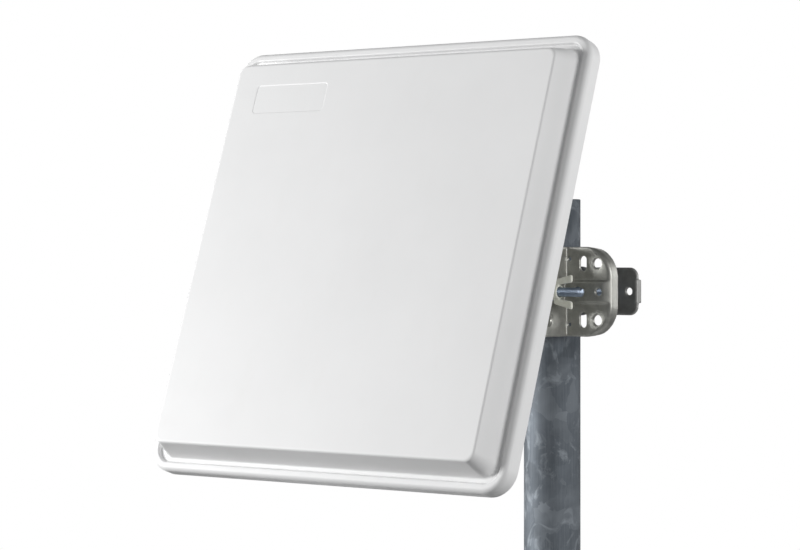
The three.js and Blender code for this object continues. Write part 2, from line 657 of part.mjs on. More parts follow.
function backCover() {
  const inner = RIM_BACK_DEPTH - COVER_THICKNESS;
  const pad = roundedRectangle(PAD_HALF_WIDTH, PAD_HALF_HEIGHT, PAD_CORNER);
  const padInside = roundedRectangle(
    PAD_HALF_WIDTH - COVER_THICKNESS,
    PAD_HALF_HEIGHT - COVER_THICKNESS,
    PAD_CORNER - COVER_THICKNESS,
  );
  const padBack = RIM_BACK_DEPTH + PAD_HEIGHT;
  const bossDepth = [atDepth(BOSS_FRONT_DEPTH), atDepth(inner + 1)];
  const bosses = POSTS.map((at) => rodY(BOSS_RADIUS, bossDepth, at, 16));
  const studDepth = [atDepth(padBack - 1), atDepth(padBack + STUD_LENGTH)];
  const studs = STUDS.map((at) => rodY(STUD_RADIUS, studDepth, at, 16));
  const through = [atDepth(inner - 1), atDepth(RIM_BACK_DEPTH + 1)];
  const blind = [atDepth(BOSS_FRONT_DEPTH - 1), atDepth(inner - 0.5)];
  const holes = [
    slabY(padInside, [atDepth(inner - 1), atDepth(padBack - COVER_THICKNESS)]),
    rodY(CONNECTOR_RADIUS + GAP, through, [0, CONNECTOR_Z]),
    rodY(VENT_STEM_RADIUS + GAP, through, [VENT_X, VENT_Z], 16),
    ...COVER_SCREWS.map((at) => rodY(COVER_SCREW_HOLE_RADIUS, through, at, 12)),
    ...POSTS.map((at) => rodY(M3_HOLE_RADIUS, blind, at, 12)),
  ];
  const shell = cut(
    join(
      squareSlab(COVER_HALF, COVER_CORNER - GAP, [inner, RIM_BACK_DEPTH]),
      slabY(pad, [atDepth(inner + 0.5), atDepth(padBack)]),
      ...bosses,
    ),
    ...holes,
  );
  return join(shell, ...studs);
}

function reflectorTray() {
  const back = TRAY_FRONT_DEPTH + TRAY_THICKNESS;
  const outside = squareSlab(TRAY_HALF, TRAY_CORNER, [TRAY_EDGE_DEPTH, back]);
  const inside = squareSlab(
    TRAY_HALF - TRAY_THICKNESS,
    TRAY_CORNER - TRAY_THICKNESS,
    [TRAY_EDGE_DEPTH - 1, TRAY_FRONT_DEPTH],
  );
  const through = [atDepth(TRAY_FRONT_DEPTH - 1), atDepth(back + 1)];
  const holes = POSTS.map((at) => rodY(M3_HOLE_RADIUS, through, at, 12));
  return cut(outside, inside, rodY(TRAY_HOLE_RADIUS, through, [0, 0], 16), ...holes);
}

function patchBoard() {
  const back = BOARD_FRONT_DEPTH + BOARD_THICKNESS;
  const through = [atDepth(BOARD_FRONT_DEPTH - 1), atDepth(back + 1)];
  const holes = POSTS.map((at) => rodY(M3_HOLE_RADIUS, through, at, 12));
  const board = squareSlab(BOARD_HALF, BOARD_CORNER, [BOARD_FRONT_DEPTH, back]);
  return cut(board, rodY(FEED_HOLE_RADIUS, through, [0, 0], 12), ...holes);
}

/** Sixteen square patches, joined in pairs, in quads and to the feed point by a tree of traces. */
function patchArray() {
  const depth = [atDepth(ARRAY_FRONT_DEPTH), atDepth(ARRAY_FRONT_DEPTH + ARRAY_THICKNESS)];
  const half = TRACE_WIDTH / 2;
  const flat = ([x0, x1], [z0, z1]) => box([x0 - half, x1 + half], depth, [z0 - half, z1 + half]);
  const traces = [flat([-PATCH_PITCH, PATCH_PITCH], [0, 0])];
  const patches = [];
  for (const side of [-1, 1]) {
    const quadX = side * PATCH_PITCH;
    traces.push(flat([quadX, quadX], [-PATCH_PITCH, PATCH_PITCH]));
    for (const level of [-1, 1]) {
      const quadZ = level * PATCH_PITCH;
      const reach = PATCH_PITCH / 2;
      traces.push(flat([quadX - reach, quadX + reach], [quadZ, quadZ]));
      for (const acrossQuad of [-1, 1]) {
        const patchX = quadX + acrossQuad * reach;
        traces.push(flat([patchX, patchX], [quadZ - reach, quadZ + reach]));
        for (const alongQuad of [-1, 1]) {
          const patchZ = quadZ + alongQuad * reach;
          const edge = PATCH_SIDE / 2;
          patches.push(box([patchX - edge, patchX + edge], depth, [patchZ - edge, patchZ + edge]));
        }
      }
    }
  }
  const feedHole = rodY(FEED_HOLE_RADIUS, [depth[0] - 1, depth[1] + 1], [0, 0], 12);
  return join(...traces, ...patches).subtract(feedHole);
}

/** A hex pillar with a stud behind it, along -Y from the shoulder at Y = 0. */
function standoff() {
  const length = STANDOFF_BACK_DEPTH - STANDOFF_FRONT_DEPTH;
  const threadLength = 6;
  const pillar = rodY(hexRadius(STANDOFF_FLATS), [-length, 0], [0, 0], 6);
  const stud = rodY(M3_RADIUS, [-1, threadLength], [0, 0], 12);
  return join(pillar, stud).subtract(rodY(M3_HOLE_RADIUS, [-length - 1, -length + threadLength], [0, 0], 12));
}

function connectorBody() {
  const at = [0, CONNECTOR_Z];
  const [front, back] = CONNECTOR_FLANGE;
  const hex = rodY(hexRadius(CONNECTOR_FLATS), [atDepth(front), atDepth(back)], at, 6);
  const barrel = rodY(CONNECTOR_RADIUS, [atDepth(back - 1), atDepth(CONNECTOR_TIP_DEPTH)], at);
  const bore = rodY(CONNECTOR_BORE_RADIUS, [atDepth(front - 1), atDepth(CONNECTOR_TIP_DEPTH + 1)], at);
  return join(hex, barrel).subtract(bore);
}

/** The feed cable: up behind the reflector tray, then forward through it to the centre of the board. */
function feedCoax() {
  const startZ = CONNECTOR_Z + hexRadius(CONNECTOR_FLATS) + 1;
  const runY = atDepth(COAX_DEPTH);
  const endY = atDepth(BOARD_FRONT_DEPTH + BOARD_THICKNESS) + GAP;
  const section = new THREE.Shape();
  section.absarc(0, 0, COAX_RADIUS, 0, 2 * Math.PI, false);
  const corner = new THREE.Vector3(0, runY, 0);
  const route = new THREE.CurvePath();
  const beforeBend = new THREE.Vector3(0, runY, -COAX_BEND);
  const afterBend = new THREE.Vector3(0, runY - COAX_BEND, 0);
  route.add(new THREE.LineCurve3(new THREE.Vector3(0, runY, startZ), beforeBend));
  route.add(new THREE.QuadraticBezierCurve3(beforeBend, corner, afterBend));
  route.add(new THREE.LineCurve3(afterBend, new THREE.Vector3(0, endY, 0)));
  const jacket = new THREE.ExtrudeGeometry(section, { steps: 30, extrudePath: route, curveSegments: 4 });
  const core = rodY(COAX_CORE_RADIUS, [atDepth(ARRAY_FRONT_DEPTH), endY + 1], [0, 0], 8);
  return join(solid(jacket), core);
}

function ventPlug() {
  const seat = atDepth(RIM_BACK_DEPTH) + GAP;
  const head = rodY(VENT_HEAD_RADIUS, [seat, seat + VENT_HEAD_HEIGHT], [VENT_X, VENT_Z], 20);
  return join(head, rodY(VENT_STEM_RADIUS, [seat - VENT_STEM_LENGTH, seat + 1], [VENT_X, VENT_Z], 12));
}

function panelYoke() {
  const baseY = atDepth(RIM_BACK_DEPTH + PAD_HEIGHT) + GAP;
  const outline = new THREE.Shape();
  outline.moveTo(baseY, YOKE_BASE_HALF_HEIGHT);
  outline.lineTo(baseY, -YOKE_BASE_HALF_HEIGHT);
  outline.lineTo(baseY + YOKE_SHOULDER, -YOKE_BASE_HALF_HEIGHT);
  outline.absarc(0, 0, YOKE_EYE_RADIUS, -0.35 * Math.PI, 0.35 * Math.PI, false);
  outline.lineTo(baseY + YOKE_SHOULDER, YOKE_BASE_HALF_HEIGHT);
  const whole = slabX(outline, [-YOKE_OUTER_X, YOKE_OUTER_X], 5);
  const channel = YOKE_OUTER_X - SHEET;
  const tall = [-YOKE_BASE_HALF_HEIGHT - 1, YOKE_BASE_HALF_HEIGHT + 1];
  const studHoles = STUDS.map((at) => rodY(STUD_HOLE_RADIUS, [baseY - 1, baseY + SHEET + 1], at, 16));
  return cut(
    whole,
    box([-channel, channel], [baseY + SHEET, YOKE_EYE_RADIUS + 1], tall),
    rodX(PIVOT_HOLE_RADIUS, [-YOKE_OUTER_X - 1, YOKE_OUTER_X + 1]),
    ...studHoles,
  );
}

function connector() {
  const parts = new THREE.Group();
  parts.add(piece('connector_body', connectorBody(), nickel()));
  const at = [0, CONNECTOR_Z];
  const front = atDepth(CONNECTOR_FLANGE[0]) + 0.8;
  const back = atDepth(INSULATOR_BACK_DEPTH);
  const insulator = rodY(CONNECTOR_BORE_RADIUS - GAP, [front, back], at);
  const pinHole = rodY(PIN_RADIUS + GAP, [front - 1, back + 1], at, 12);
  parts.add(piece('connector_insulator', insulator.subtract(pinHole), ptfe()));
  parts.add(piece('connector_pin', rodY(PIN_RADIUS, [front, atDepth(PIN_TIP_DEPTH)], at, 12), copper()));
  const gasketSeat = atDepth(RIM_BACK_DEPTH) + GAP;
  const washer = ring(CONNECTOR_GASKET_RADIUS, CONNECTOR_RADIUS + GAP, CONNECTOR_GASKET_THICKNESS);
  parts.add(placed(piece('connector_gasket', washer, rubber()), [0, gasketSeat, CONNECTOR_Z], FACING_BACK));
  const ringNut = nut(CONNECTOR_NUT_FLATS, CONNECTOR_NUT_HEIGHT, CONNECTOR_RADIUS + GAP);
  const hexNut = piece('connector_nut', ringNut, nickel());
  parts.add(placed(hexNut, [0, gasketSeat + CONNECTOR_GASKET_THICKNESS + GAP, CONNECTOR_Z], FACING_BACK));
  return parts;
}

function panel() {
  const head = new THREE.Group();
  head.position.set(0, LIFT_PIVOT_Y - ARM_LENGTH, BRACKET_Z);
  head.rotation.x = -REST_TILT;

  head.add(piece('radome', radome(), radomeWhite()));
  head.add(piece('back_cover', backCover(), coverGrey()));
  head.add(piece('rim_gasket', rimGasket(), rubber()));
  head.add(piece('reflector_tray', reflectorTray(), aluminium()));
  head.add(piece('patch_board', patchBoard(), boardGreen()));
  head.add(piece('patch_array', patchArray(), copper()));
  head.add(piece('feed_coax', feedCoax(), copper()));
  head.add(piece('vent_plug', ventPlug(), blackPlastic()));
  head.add(piece('panel_yoke', panelYoke(), bracketSteel()));
  head.add(connector());

  POSTS.forEach(([x, z], index) => {
    const post = piece(`standoff_${index + 1}`, standoff(), nickel());
    head.add(placed(post, [x, atDepth(STANDOFF_BACK_DEPTH), z]));
    const body = panScrew(M3_HEAD_RADIUS, M3_HEAD_HEIGHT, M3_RADIUS, SCREW_LENGTH);
    const screw = piece(`board_screw_${index + 1}`, body, nickel());
    head.add(placed(screw, [x, atDepth(BOARD_FRONT_DEPTH) - GAP, z], FACING_BACK));
  });
  COVER_SCREWS.forEach(([x, z], index) => {
    const body = panScrew(COVER_SCREW_HEAD_RADIUS, COVER_SCREW_HEAD_HEIGHT, COVER_SCREW_RADIUS, SCREW_LENGTH);
    const screw = piece(`cover_screw_${index + 1}`, body, nickel());
    head.add(placed(screw, [x, atDepth(RIM_BACK_DEPTH) + GAP, z], FACING_FRONT));
  });
  const studNutSeat = atDepth(RIM_BACK_DEPTH + PAD_HEIGHT) + SHEET + 2 * GAP;
  STUDS.forEach(([x, z], index) => {
    const body = nut(STUD_NUT_FLATS, STUD_NUT_HEIGHT, STUD_RADIUS + GAP);
    const studNut = piece(`stud_nut_${index + 1}`, body, blueZinc());
    head.add(placed(studNut, [x, studNutSeat, z], FACING_BACK));
  });
  return head;
}

// ---------- The whole object ----------

const group = new THREE.Group();
group.add(piece('mast_tube', mastTube(), mastZinc()));
group.add(mastClamp());
group.add(arms());
group.add(panel());

export default group;
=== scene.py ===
import json
import math

import bpy
import numpy as np
from mathutils import Matrix, Vector
from mathutils.geometry import tessellate_polygon


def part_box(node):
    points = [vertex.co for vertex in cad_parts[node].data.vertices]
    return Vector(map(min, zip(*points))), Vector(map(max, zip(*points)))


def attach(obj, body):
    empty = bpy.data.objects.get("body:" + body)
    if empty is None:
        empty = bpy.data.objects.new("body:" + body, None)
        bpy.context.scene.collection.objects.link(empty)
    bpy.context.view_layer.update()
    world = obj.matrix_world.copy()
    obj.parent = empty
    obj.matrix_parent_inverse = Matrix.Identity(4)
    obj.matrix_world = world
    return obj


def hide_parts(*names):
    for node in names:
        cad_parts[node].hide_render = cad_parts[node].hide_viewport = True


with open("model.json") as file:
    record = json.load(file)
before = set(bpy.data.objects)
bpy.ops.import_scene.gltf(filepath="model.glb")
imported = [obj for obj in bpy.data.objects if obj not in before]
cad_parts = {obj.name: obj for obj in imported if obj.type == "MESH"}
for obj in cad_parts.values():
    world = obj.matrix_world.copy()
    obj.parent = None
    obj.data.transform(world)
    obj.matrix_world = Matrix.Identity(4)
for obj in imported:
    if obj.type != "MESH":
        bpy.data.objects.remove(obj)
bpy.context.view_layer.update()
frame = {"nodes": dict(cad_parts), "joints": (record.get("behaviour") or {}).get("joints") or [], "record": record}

# Shapes are written in millimetres and scaled to metres when their mesh is made.
MM = 0.001
joints = {joint["name"]: joint for joint in frame["joints"]}
mounts = {mount["name"]: mount for mount in frame["record"]["mounts"]}

# ---------- Places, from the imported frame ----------

LIFT_PIVOT = Vector(joints["arm_lift"]["pos_m"])
TILT_PIVOT = Vector(joints["panel_tilt"]["pos_m"])
BRACKET_CENTRE = Vector(joints["azimuth"]["pos_m"])
panel_back = mounts["connector_face"]["axis"]
REST_TILT = math.atan2(-panel_back[2], panel_back[1])

AT_BRACKET = Matrix.Translation(BRACKET_CENTRE)
AT_TILT_PIVOT = Matrix.Translation(TILT_PIVOT)
AT_PANEL = AT_TILT_PIVOT @ Matrix.Rotation(-REST_TILT, 4, "X")
X_TO_Y = Matrix.Rotation(math.pi / 2, 4, "Z")
X_TO_MINUS_Y = Matrix.Rotation(-math.pi / 2, 4, "Z")

# ---------- Sizes, in millimetres ----------

SHEET = 3
MAST_RADIUS = 25
MAST_WALL = 2.5
SADDLE_RADIUS = MAST_RADIUS + 0.3

WALL_INNER_X = 29
WALL_OUTER_X = 32
WALL_FRONT_Y = -66
WALL_NOSE_RADIUS = 14
EAR_FRONT_Y = -22
EAR_BACK_Y = EAR_FRONT_Y + SHEET
EAR_REACH = 78.6
EAR_HALF_HEIGHT = 39
EAR_CORNER = 27
EAR_TURN_FROM_X = 54  # where the ear's edge begins to turn back
EAR_TURN_TO_X = 64
RIM_FLANGE_DEPTH = 11
RIB_HALF_BASE = 11
RIB_HALF_TOP = 8
RIB_HEIGHT = 2.8
RIB_FULL_TO_X = 71
RIB_END_X = 77.5
PIVOT_HOLE_RADIUS = 4.4
M8_HOLE_RADIUS = 4.5
LIFT_PIVOT_Y = LIFT_PIVOT.y / MM
ARM_LENGTH = (LIFT_PIVOT.y - TILT_PIVOT.y) / MM
CLAMP_BOLT_X = 45
OUTER_HOLE_X = 67
OUTER_HOLE_RADIUS = 3.3
SLOT_X = 49
EAR_HOLE_X = 64
EAR_HOLE_Z = 24.5
SLOT_HALF_WIDTH = 3.5
SLOT_HALF_HEIGHT = 6.6
WALL_HOLE_Y = -48.2
WALL_HOLE_Z = 24.6
WALL_HOLE_RADIUS = 5.2
RELIEF_HOLE_X = 34.4
RELIEF_HOLE_Z = 28.5
RELIEF_HOLE_RADIUS = 1.8

REAR_FRONT_Y = 21.6
REAR_REACH = 76
REAR_HALF_HEIGHT = 21
REAR_CORNER = 8.5
END_FLANGE_DEPTH = 7
END_FLANGE_HALF_HEIGHT = 10.3

ARM_HALF_HEIGHT = 14
YOKE_EYE_RADIUS = 13
YOKE_HALF_WIDTH = 25
YOKE_HALF_HEIGHT = 45
YOKE_EAR_STEP = 14  # how far in front of the yoke's base its ears start to taper
YOKE_BASE_GAP = 0.3
YOKE_STUD_HOLE_RADIUS = 3.3

M8_RADIUS = 4
M8_PITCH = 1.25
M8_ACROSS_FLATS = 13
M8_HEAD_HEIGHT = 5.3
M8_NUT_HEIGHT = 6.5
M8_NUT_BORE = 4.2
M8_WASHER_BORE = 4.4
M8_WASHER_RADIUS = 8
M8_WASHER_THICKNESS = 1.6

PANEL_OFFSET = 112  # tilt pivot to the front of the radome
FACE_HALF = 167.2
RIM_HALF = 186.6
RIM_CORNER = 21
RIM_BACK_DEPTH = 34
PAD_HEIGHT = 6
PAD_BACK_DEPTH = RIM_BACK_DEPTH + PAD_HEIGHT
STUD_X = 15
STUD_Z = 33
CONNECTOR_Z = -115
CONNECTOR_SEAT_DEPTH = 29.2
CONNECTOR_LENGTH = 28.8
VENT_X = 90
VENT_Z = -150
LABEL_X = -102.5
LABEL_Z = 135.2
LABEL_HALF_WIDTH = 39
LABEL_HALF_HEIGHT = 12
LABEL_DEPTH = 0.35
LABEL_CORNER = 2.5
SEAT_GAP = 0.3  # the clearance between fittings and the back cover


def at_depth(depth):
    """Depth behind the radome's front face as a Y coordinate of the panel."""
    return depth - PANEL_OFFSET


# ---------- Solid shapes as distance fields ----------


def smooth_min(a, b, blend):
    """The union of two fields with a fillet about `blend` wide where they meet."""
    share = np.clip(0.5 + 0.5 * (b - a) / blend, 0, 1)
    return b + (a - b) * share - blend * share * (1 - share)


def smooth_max(a, b, blend):
    return -smooth_min(-a, -b, blend)


def smooth_step(low, high, value):
    """0 at low, 1 at high and a smooth rise between."""
    share = np.clip((value - low) / (high - low), 0, 1)
    return share * share * (3 - 2 * share)


def corner_distance(a, b):
    return np.hypot(np.maximum(a, 0), np.maximum(b, 0)) + np.minimum(np.maximum(a, b), 0)


def rounded_rectangle(u, v, half_u, half_v, radius):
    return corner_distance(np.abs(u) - (half_u - radius), np.abs(v) - (half_v - radius)) - radius


def slab(outline, along, low, high, edge):
    """An outline's field extruded between two values, its edges rounded by `edge`."""
    middle, half = (low + high) / 2, (high - low) / 2
    return corner_distance(outline + edge, np.abs(along - middle) - half + edge) - edge


def segment(u, v, start, end):
    """Distance to a line segment in a plane."""
    (u0, v0), (u1, v1) = start, end
    du, dv = u1 - u0, v1 - v0
    share = np.clip(((u - u0) * du + (v - v0) * dv) / (du * du + dv * dv), 0, 1)
    return np.hypot(u - u0 - share * du, v - v0 - share * dv)


def hexagon(u, v, across_flats):
    """A hexagon with flats that face along +u and -u."""
    slanted = np.abs(u) / 2 + np.abs(v) * math.sqrt(3) / 2
    return np.maximum(np.abs(u), slanted) - across_flats / 2


def surface(field, low, high, step):
    """The zero surface of a field as a mesh of quads, one vertex per grid cell that it crosses."""
    counts = [int(math.ceil((b - a) / step)) + 1 for a, b in zip(low, high)]
    size = np.float32(step)
    axes = [np.float32(a) + np.arange(n, dtype=np.float32) * size for a, n in zip(low, counts)]
    values = field(*np.meshgrid(*axes, indexing="ij"))
    cells = tuple(n - 1 for n in counts)
    total = np.zeros(cells + (3,), np.float32)
    crossings = np.zeros(cells, np.float32)
    crossed_edges = []
    for axis in range(3):
        u, v = (axis + 1) % 3, (axis + 2) % 3
        near = np.take(values, range(cells[axis]), axis)
        far = np.take(values, range(1, counts[axis]), axis)
        crossed = (near < 0) != (far < 0)
        share = np.where(crossed, near / np.where(crossed, near - far, 1), 0)
        crossed_edges.append((crossed, near < 0))
        for du in (0, 1):
            for dv in (0, 1):
                part = [slice(None)] * 3
                part[u] = slice(du, du + cells[u])
                part[v] = slice(dv, dv + cells[v])
                hit = crossed[tuple(part)]
                crossings += hit
                total[..., axis] += share[tuple(part)]
                total[..., u] += du * hit
                total[..., v] += dv * hit
    active = crossings > 0
    number = np.full(cells, -1, np.int64)
    number[active] = np.arange(active.sum())
    in_cells = np.argwhere(active) + total[active] / crossings[active][:, None]
    points = in_cells * step + np.array(low)
    quads = []
    for axis, (crossed, leaving) in enumerate(crossed_edges):
        u, v = (axis + 1) % 3, (axis + 2) % 3
        inner = [slice(None)] * 3
        inner[u] = slice(1, cells[u])
        inner[v] = slice(1, cells[v])
        at = np.argwhere(crossed[tuple(inner)])
        outward = leaving[tuple(inner)][tuple(at.T)]
        at[:, u] += 1
        at[:, v] += 1
        ring = []
        for du, dv in ((0, 0), (-1, 0), (-1, -1), (0, -1)):
            corner = at.copy()
            corner[:, u] += du
            corner[:, v] += dv
            ring.append(number[tuple(corner.T)])
        ring = np.stack(ring, 1)
        quads.append(np.where(outward[:, None], ring, ring[:, ::-1]))
    return points, np.concatenate(quads)


# ---------- Surfaces of revolution, threads and rounded squares ----------


def lathe(profile, sides, twist=None):
    """A profile of (x, radius) points turned about X, as points and quads.

    twist(x, angles) gives a change of radius, for a thread."""
    angles = np.arange(sides) * 2 * math.pi / sides
    points = []
    for x, radius in profile:
        reach = radius + (twist(x, angles) if twist else 0)
        ring = [np.full(sides, x), reach * np.cos(angles), reach * np.sin(angles)]
        points.append(np.stack(ring, 1))
    return np.concatenate(points), band_quads(len(profile), sides)


def band_quads(rings, sides, closed=False):
    """Quads between each ring of points and the next, and from the last to the first if closed."""
    start = np.arange(rings if closed else rings - 1)[:, None] * sides
    following = (start + sides) % (rings * sides)
    here = np.arange(sides)[None, :]
    there = (here + 1) % sides
    corners = [start + here, start + there, following + there, following + here]
    return np.stack(corners, -1).reshape(-1, 4)


def turned(profile, sides=48):
    """A ring-shaped solid: a closed loop of (x, radius) points turned about X."""
    points, _ = lathe(profile, sides)
    return points, band_quads(len(profile), sides, closed=True)


def tube(inner, outer, low, high, chamfer, sides=48):
    """A straight pipe along X with chamfered ends."""
    return turned(
        [
            (low, inner + chamfer),
            (low, outer - chamfer),
            (low + chamfer, outer),
            (high - chamfer, outer),
            (high, outer - chamfer),
            (high, inner + chamfer),
            (high - chamfer, inner),
            (low + chamfer, inner),
        ],
        sides,
    )


def threaded_rod(radius, pitch, low, thread_from, high, sides=32):
    """A rod along X with a helical thread from `thread_from` to its chamfered end at `high`."""
    rings_per_turn = 8
    depth = 0.61 * pitch
    chamfer = radius * 0.3
    axis_radius = 0.001
    turns = (high - chamfer - thread_from) / pitch
    threaded = np.linspace(thread_from, high - chamfer, max(3, int(turns * rings_per_turn)))

    def groove(x, angles):
        if x < thread_from or x > high - chamfer * 0.5:
            return 0 * angles
        phase = (x / pitch - angles / (2 * math.pi)) % 1
        fade = min(1, (x - thread_from) / pitch)
        return -depth * fade * np.clip(np.abs(2 * phase - 1) * 1.3 - 0.15, 0, 1)

    profile = [(low, axis_radius), (low, radius), (thread_from - 0.01, radius)]
    profile += [(x, radius) for x in threaded]
    profile += [(high - chamfer * 0.4, radius - chamfer * 0.8)]
    profile += [(high, radius - chamfer * 1.3), (high, axis_radius)]
    return lathe(profile, sides, groove)


def square_ring(half_x, half_z, radius, y, steps=10):
    """Points round a rounded rectangle that faces along Y."""
    points = []
    for quarter, (sx, sz) in enumerate(((1, 1), (-1, 1), (-1, -1), (1, -1))):
        for step in range(steps + 1):
            angle = (quarter + step / steps) * math.pi / 2
            x = sx * (half_x - radius) + radius * math.cos(angle)
            z = sz * (half_z - radius) + radius * math.sin(angle)
            points.append((x, y, z))
    return points


def arc(centre, radius, start, end, steps):
    """Points of an arc in a section, angles in degrees."""
    angles = [math.radians(start + (end - start) * step / steps) for step in range(steps + 1)]
    return [(centre[0] + radius * math.cos(a), centre[1] + radius * math.sin(a)) for a in angles]


# ---------- Pieces ----------


def merged(*shapes):
    """Several (points, faces) shapes as one."""
    points, faces, start = [], [], 0
    for shape_points, shape_faces in shapes:
        points.append(np.asarray(shape_points, float))
        faces.extend([index + start for index in face] for face in shape_faces)
        start += len(shape_points)
    return np.concatenate(points), faces


def moved(shape, matrix):
    """A shape in millimetres under a matrix whose offset is in millimetres."""
    points, faces = shape
    table = np.array(matrix)
    return np.asarray(points, float) @ table[:3, :3].T + table[:3, 3], faces


def make_mesh(name, shape):
    """A shape in millimetres as a smooth-shaded mesh in metres."""
    points, faces = shape
    mesh = bpy.data.meshes.new(name)
    corners = [list(map(int, face)) for face in faces]
    mesh.from_pydata((np.asarray(points, float) * MM).tolist(), [], corners)
    mesh.validate()
    mesh.polygons.foreach_set("use_smooth", np.ones(len(mesh.polygons), bool))
    mesh.update()
    return mesh


def add_piece(name, mesh, place, body, material, slot, *replaced, flat_faces=False):
    """An object of a mesh, placed in the row frame, that rides on a body and stands for CAD nodes."""
    placed = mesh.copy()
    placed.transform(place)
    placed.materials.append(material)
    made = bpy.data.objects.new(name, placed)
    bpy.context.scene.collection.objects.link(made)
    if flat_faces:
        weighted = made.modifiers.new("flat_faces", "WEIGHTED_NORMAL")
        weighted.weight = 100
        weighted.keep_sharp = True
    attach(made, body)
    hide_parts(*replaced)


# ---------- Materials ----------


class Look:
    """One material's node tree, with short calls for the nodes it is made of."""

    def __init__(self, name):
        self.material = bpy.data.materials.new(name)
        self.material.use_nodes = True
        self.tree = self.material.node_tree
        self.shader = self.tree.nodes["Principled BSDF"]
        self.place = self.tree.nodes.new("ShaderNodeTexCoord").outputs["Object"]

    def set(self, **sockets):
        for name, value in sockets.items():
            self.shader.inputs[name.replace("_", " ")].default_value = value

    def node(self, kind, inputs=(), **settings):
        """A node whose inputs are given as values or as the sockets that feed them."""
        made = self.tree.nodes.new(kind)
        for name, value in settings.items():
            setattr(made, name, value)
        for socket, value in dict(inputs).items():
            if isinstance(value, bpy.types.NodeSocket):
                self.tree.links.new(value, made.inputs[socket])
            else:
                made.inputs[socket].default_value = value
        return made

    def stretched(self, scale):
        return self.node("ShaderNodeMapping", {"Vector": self.place, "Scale": scale}).outputs["Vector"]

    def noise(self, size_mm, detail=3, roughness=0.5, distortion=0, place=None):
        """Noise whose features are about size_mm across."""
        inputs = {
            "Vector": place or self.place,
            "Scale": 1 / (size_mm * MM),
            "Detail": detail,
            "Roughness": roughness,
            "Distortion": distortion,
        }
        return self.node("ShaderNodeTexNoise", inputs).outputs["Fac"]

    def spread(self, value, low, high, to_low=0.0, to_high=1.0):
        limits = {"From Min": low, "From Max": high, "To Min": to_low, "To Max": to_high}
        return self.node("ShaderNodeMapRange", {"Value": value, **limits}).outputs["Result"]

    def math(self, operation, a, b=0.0):
        return self.node("ShaderNodeMath", {0: a, 1: b}, operation=operation).outputs[0]

    def mix(self, share, a, b):
        made = self.node("ShaderNodeMix", {}, data_type="RGBA")
        for index, value in ((0, share), (6, a), (7, b)):
            if isinstance(value, bpy.types.NodeSocket):
                self.tree.links.new(value, made.inputs[index])
            else:
                made.inputs[index].default_value = value if index == 0 else (*value, 1)
        return made.outputs[2]

    def edges(self, low=0.52, high=0.6):
        """1 on outer edges, where a finish wears, from the mesh's own curvature."""
        pointiness = self.node("ShaderNodeNewGeometry").outputs["Pointiness"]
        return self.spread(pointiness, low, high)

    def colour(self, socket):
        self.tree.links.new(socket, self.shader.inputs["Base Color"])

    def roughness(self, socket):
        self.tree.links.new(socket, self.shader.inputs["Roughness"])

    def bump(self, height, depth_mm, strength):
        made = self.node(
            "ShaderNodeBump", {"Height": height, "Distance": depth_mm * MM, "Strength": strength}
        )
        self.tree.links.new(made.outputs["Normal"], self.shader.inputs["Normal"])


def moulded_white():
    """White plastic with a faint drift of tone, a few pale streaks and a fine grain."""
    look = Look("moulded_white")
    look.set(IOR=1.5, Specular_IOR_Level=0.4)
    cloudy = look.noise(90, 4, 0.6)
    streaks = look.noise(30, 4, 0.6, place=look.stretched((1, 1, 0.15)))
    clean = look.mix(look.spread(cloudy, 0.3, 0.7), (0.805, 0.805, 0.805), (0.83, 0.83, 0.83))
    look.colour(look.mix(look.spread(streaks, 0.6, 0.9, 0, 0.35), clean, (0.77, 0.765, 0.75)))
    grain = look.noise(0.9, 2, 0.5)
    look.roughness(look.spread(look.noise(25, 3), 0.3, 0.7, 0.42, 0.52))
    look.bump(grain, 0.03, 0.5)
    return look.material


def passivated_steel(name, dark, light, roughness):
    """Mottled olive-grey steel, scratched and rubbed bare on its edges."""
    look = Look(name)
    look.set(Metallic=0.8)
    mottled = look.noise(9, 5, 0.65, 0.6)
    base = look.mix(look.spread(mottled, 0.35, 0.68), dark, light)
    scratched = look.noise(1.2, 3, 0.7, place=look.stretched((1, 1, 7)))
    worn = look.math("MULTIPLY", look.edges(), look.spread(look.noise(3, 3), 0.4, 0.6))
    bare = tuple(1.9 * channel for channel in light)
    look.colour(look.mix(look.math("MULTIPLY", worn, 0.7), base, bare))
    uneven = look.math("ADD", mottled, look.math("MULTIPLY", scratched, 0.4))
    look.roughness(look.spread(uneven, 0.5, 0.95, *roughness))
    grain = look.math("ADD", look.noise(0.5, 3), look.math("MULTIPLY", scratched, 0.6))
    look.bump(grain, 0.03, 0.6)
    return look.material


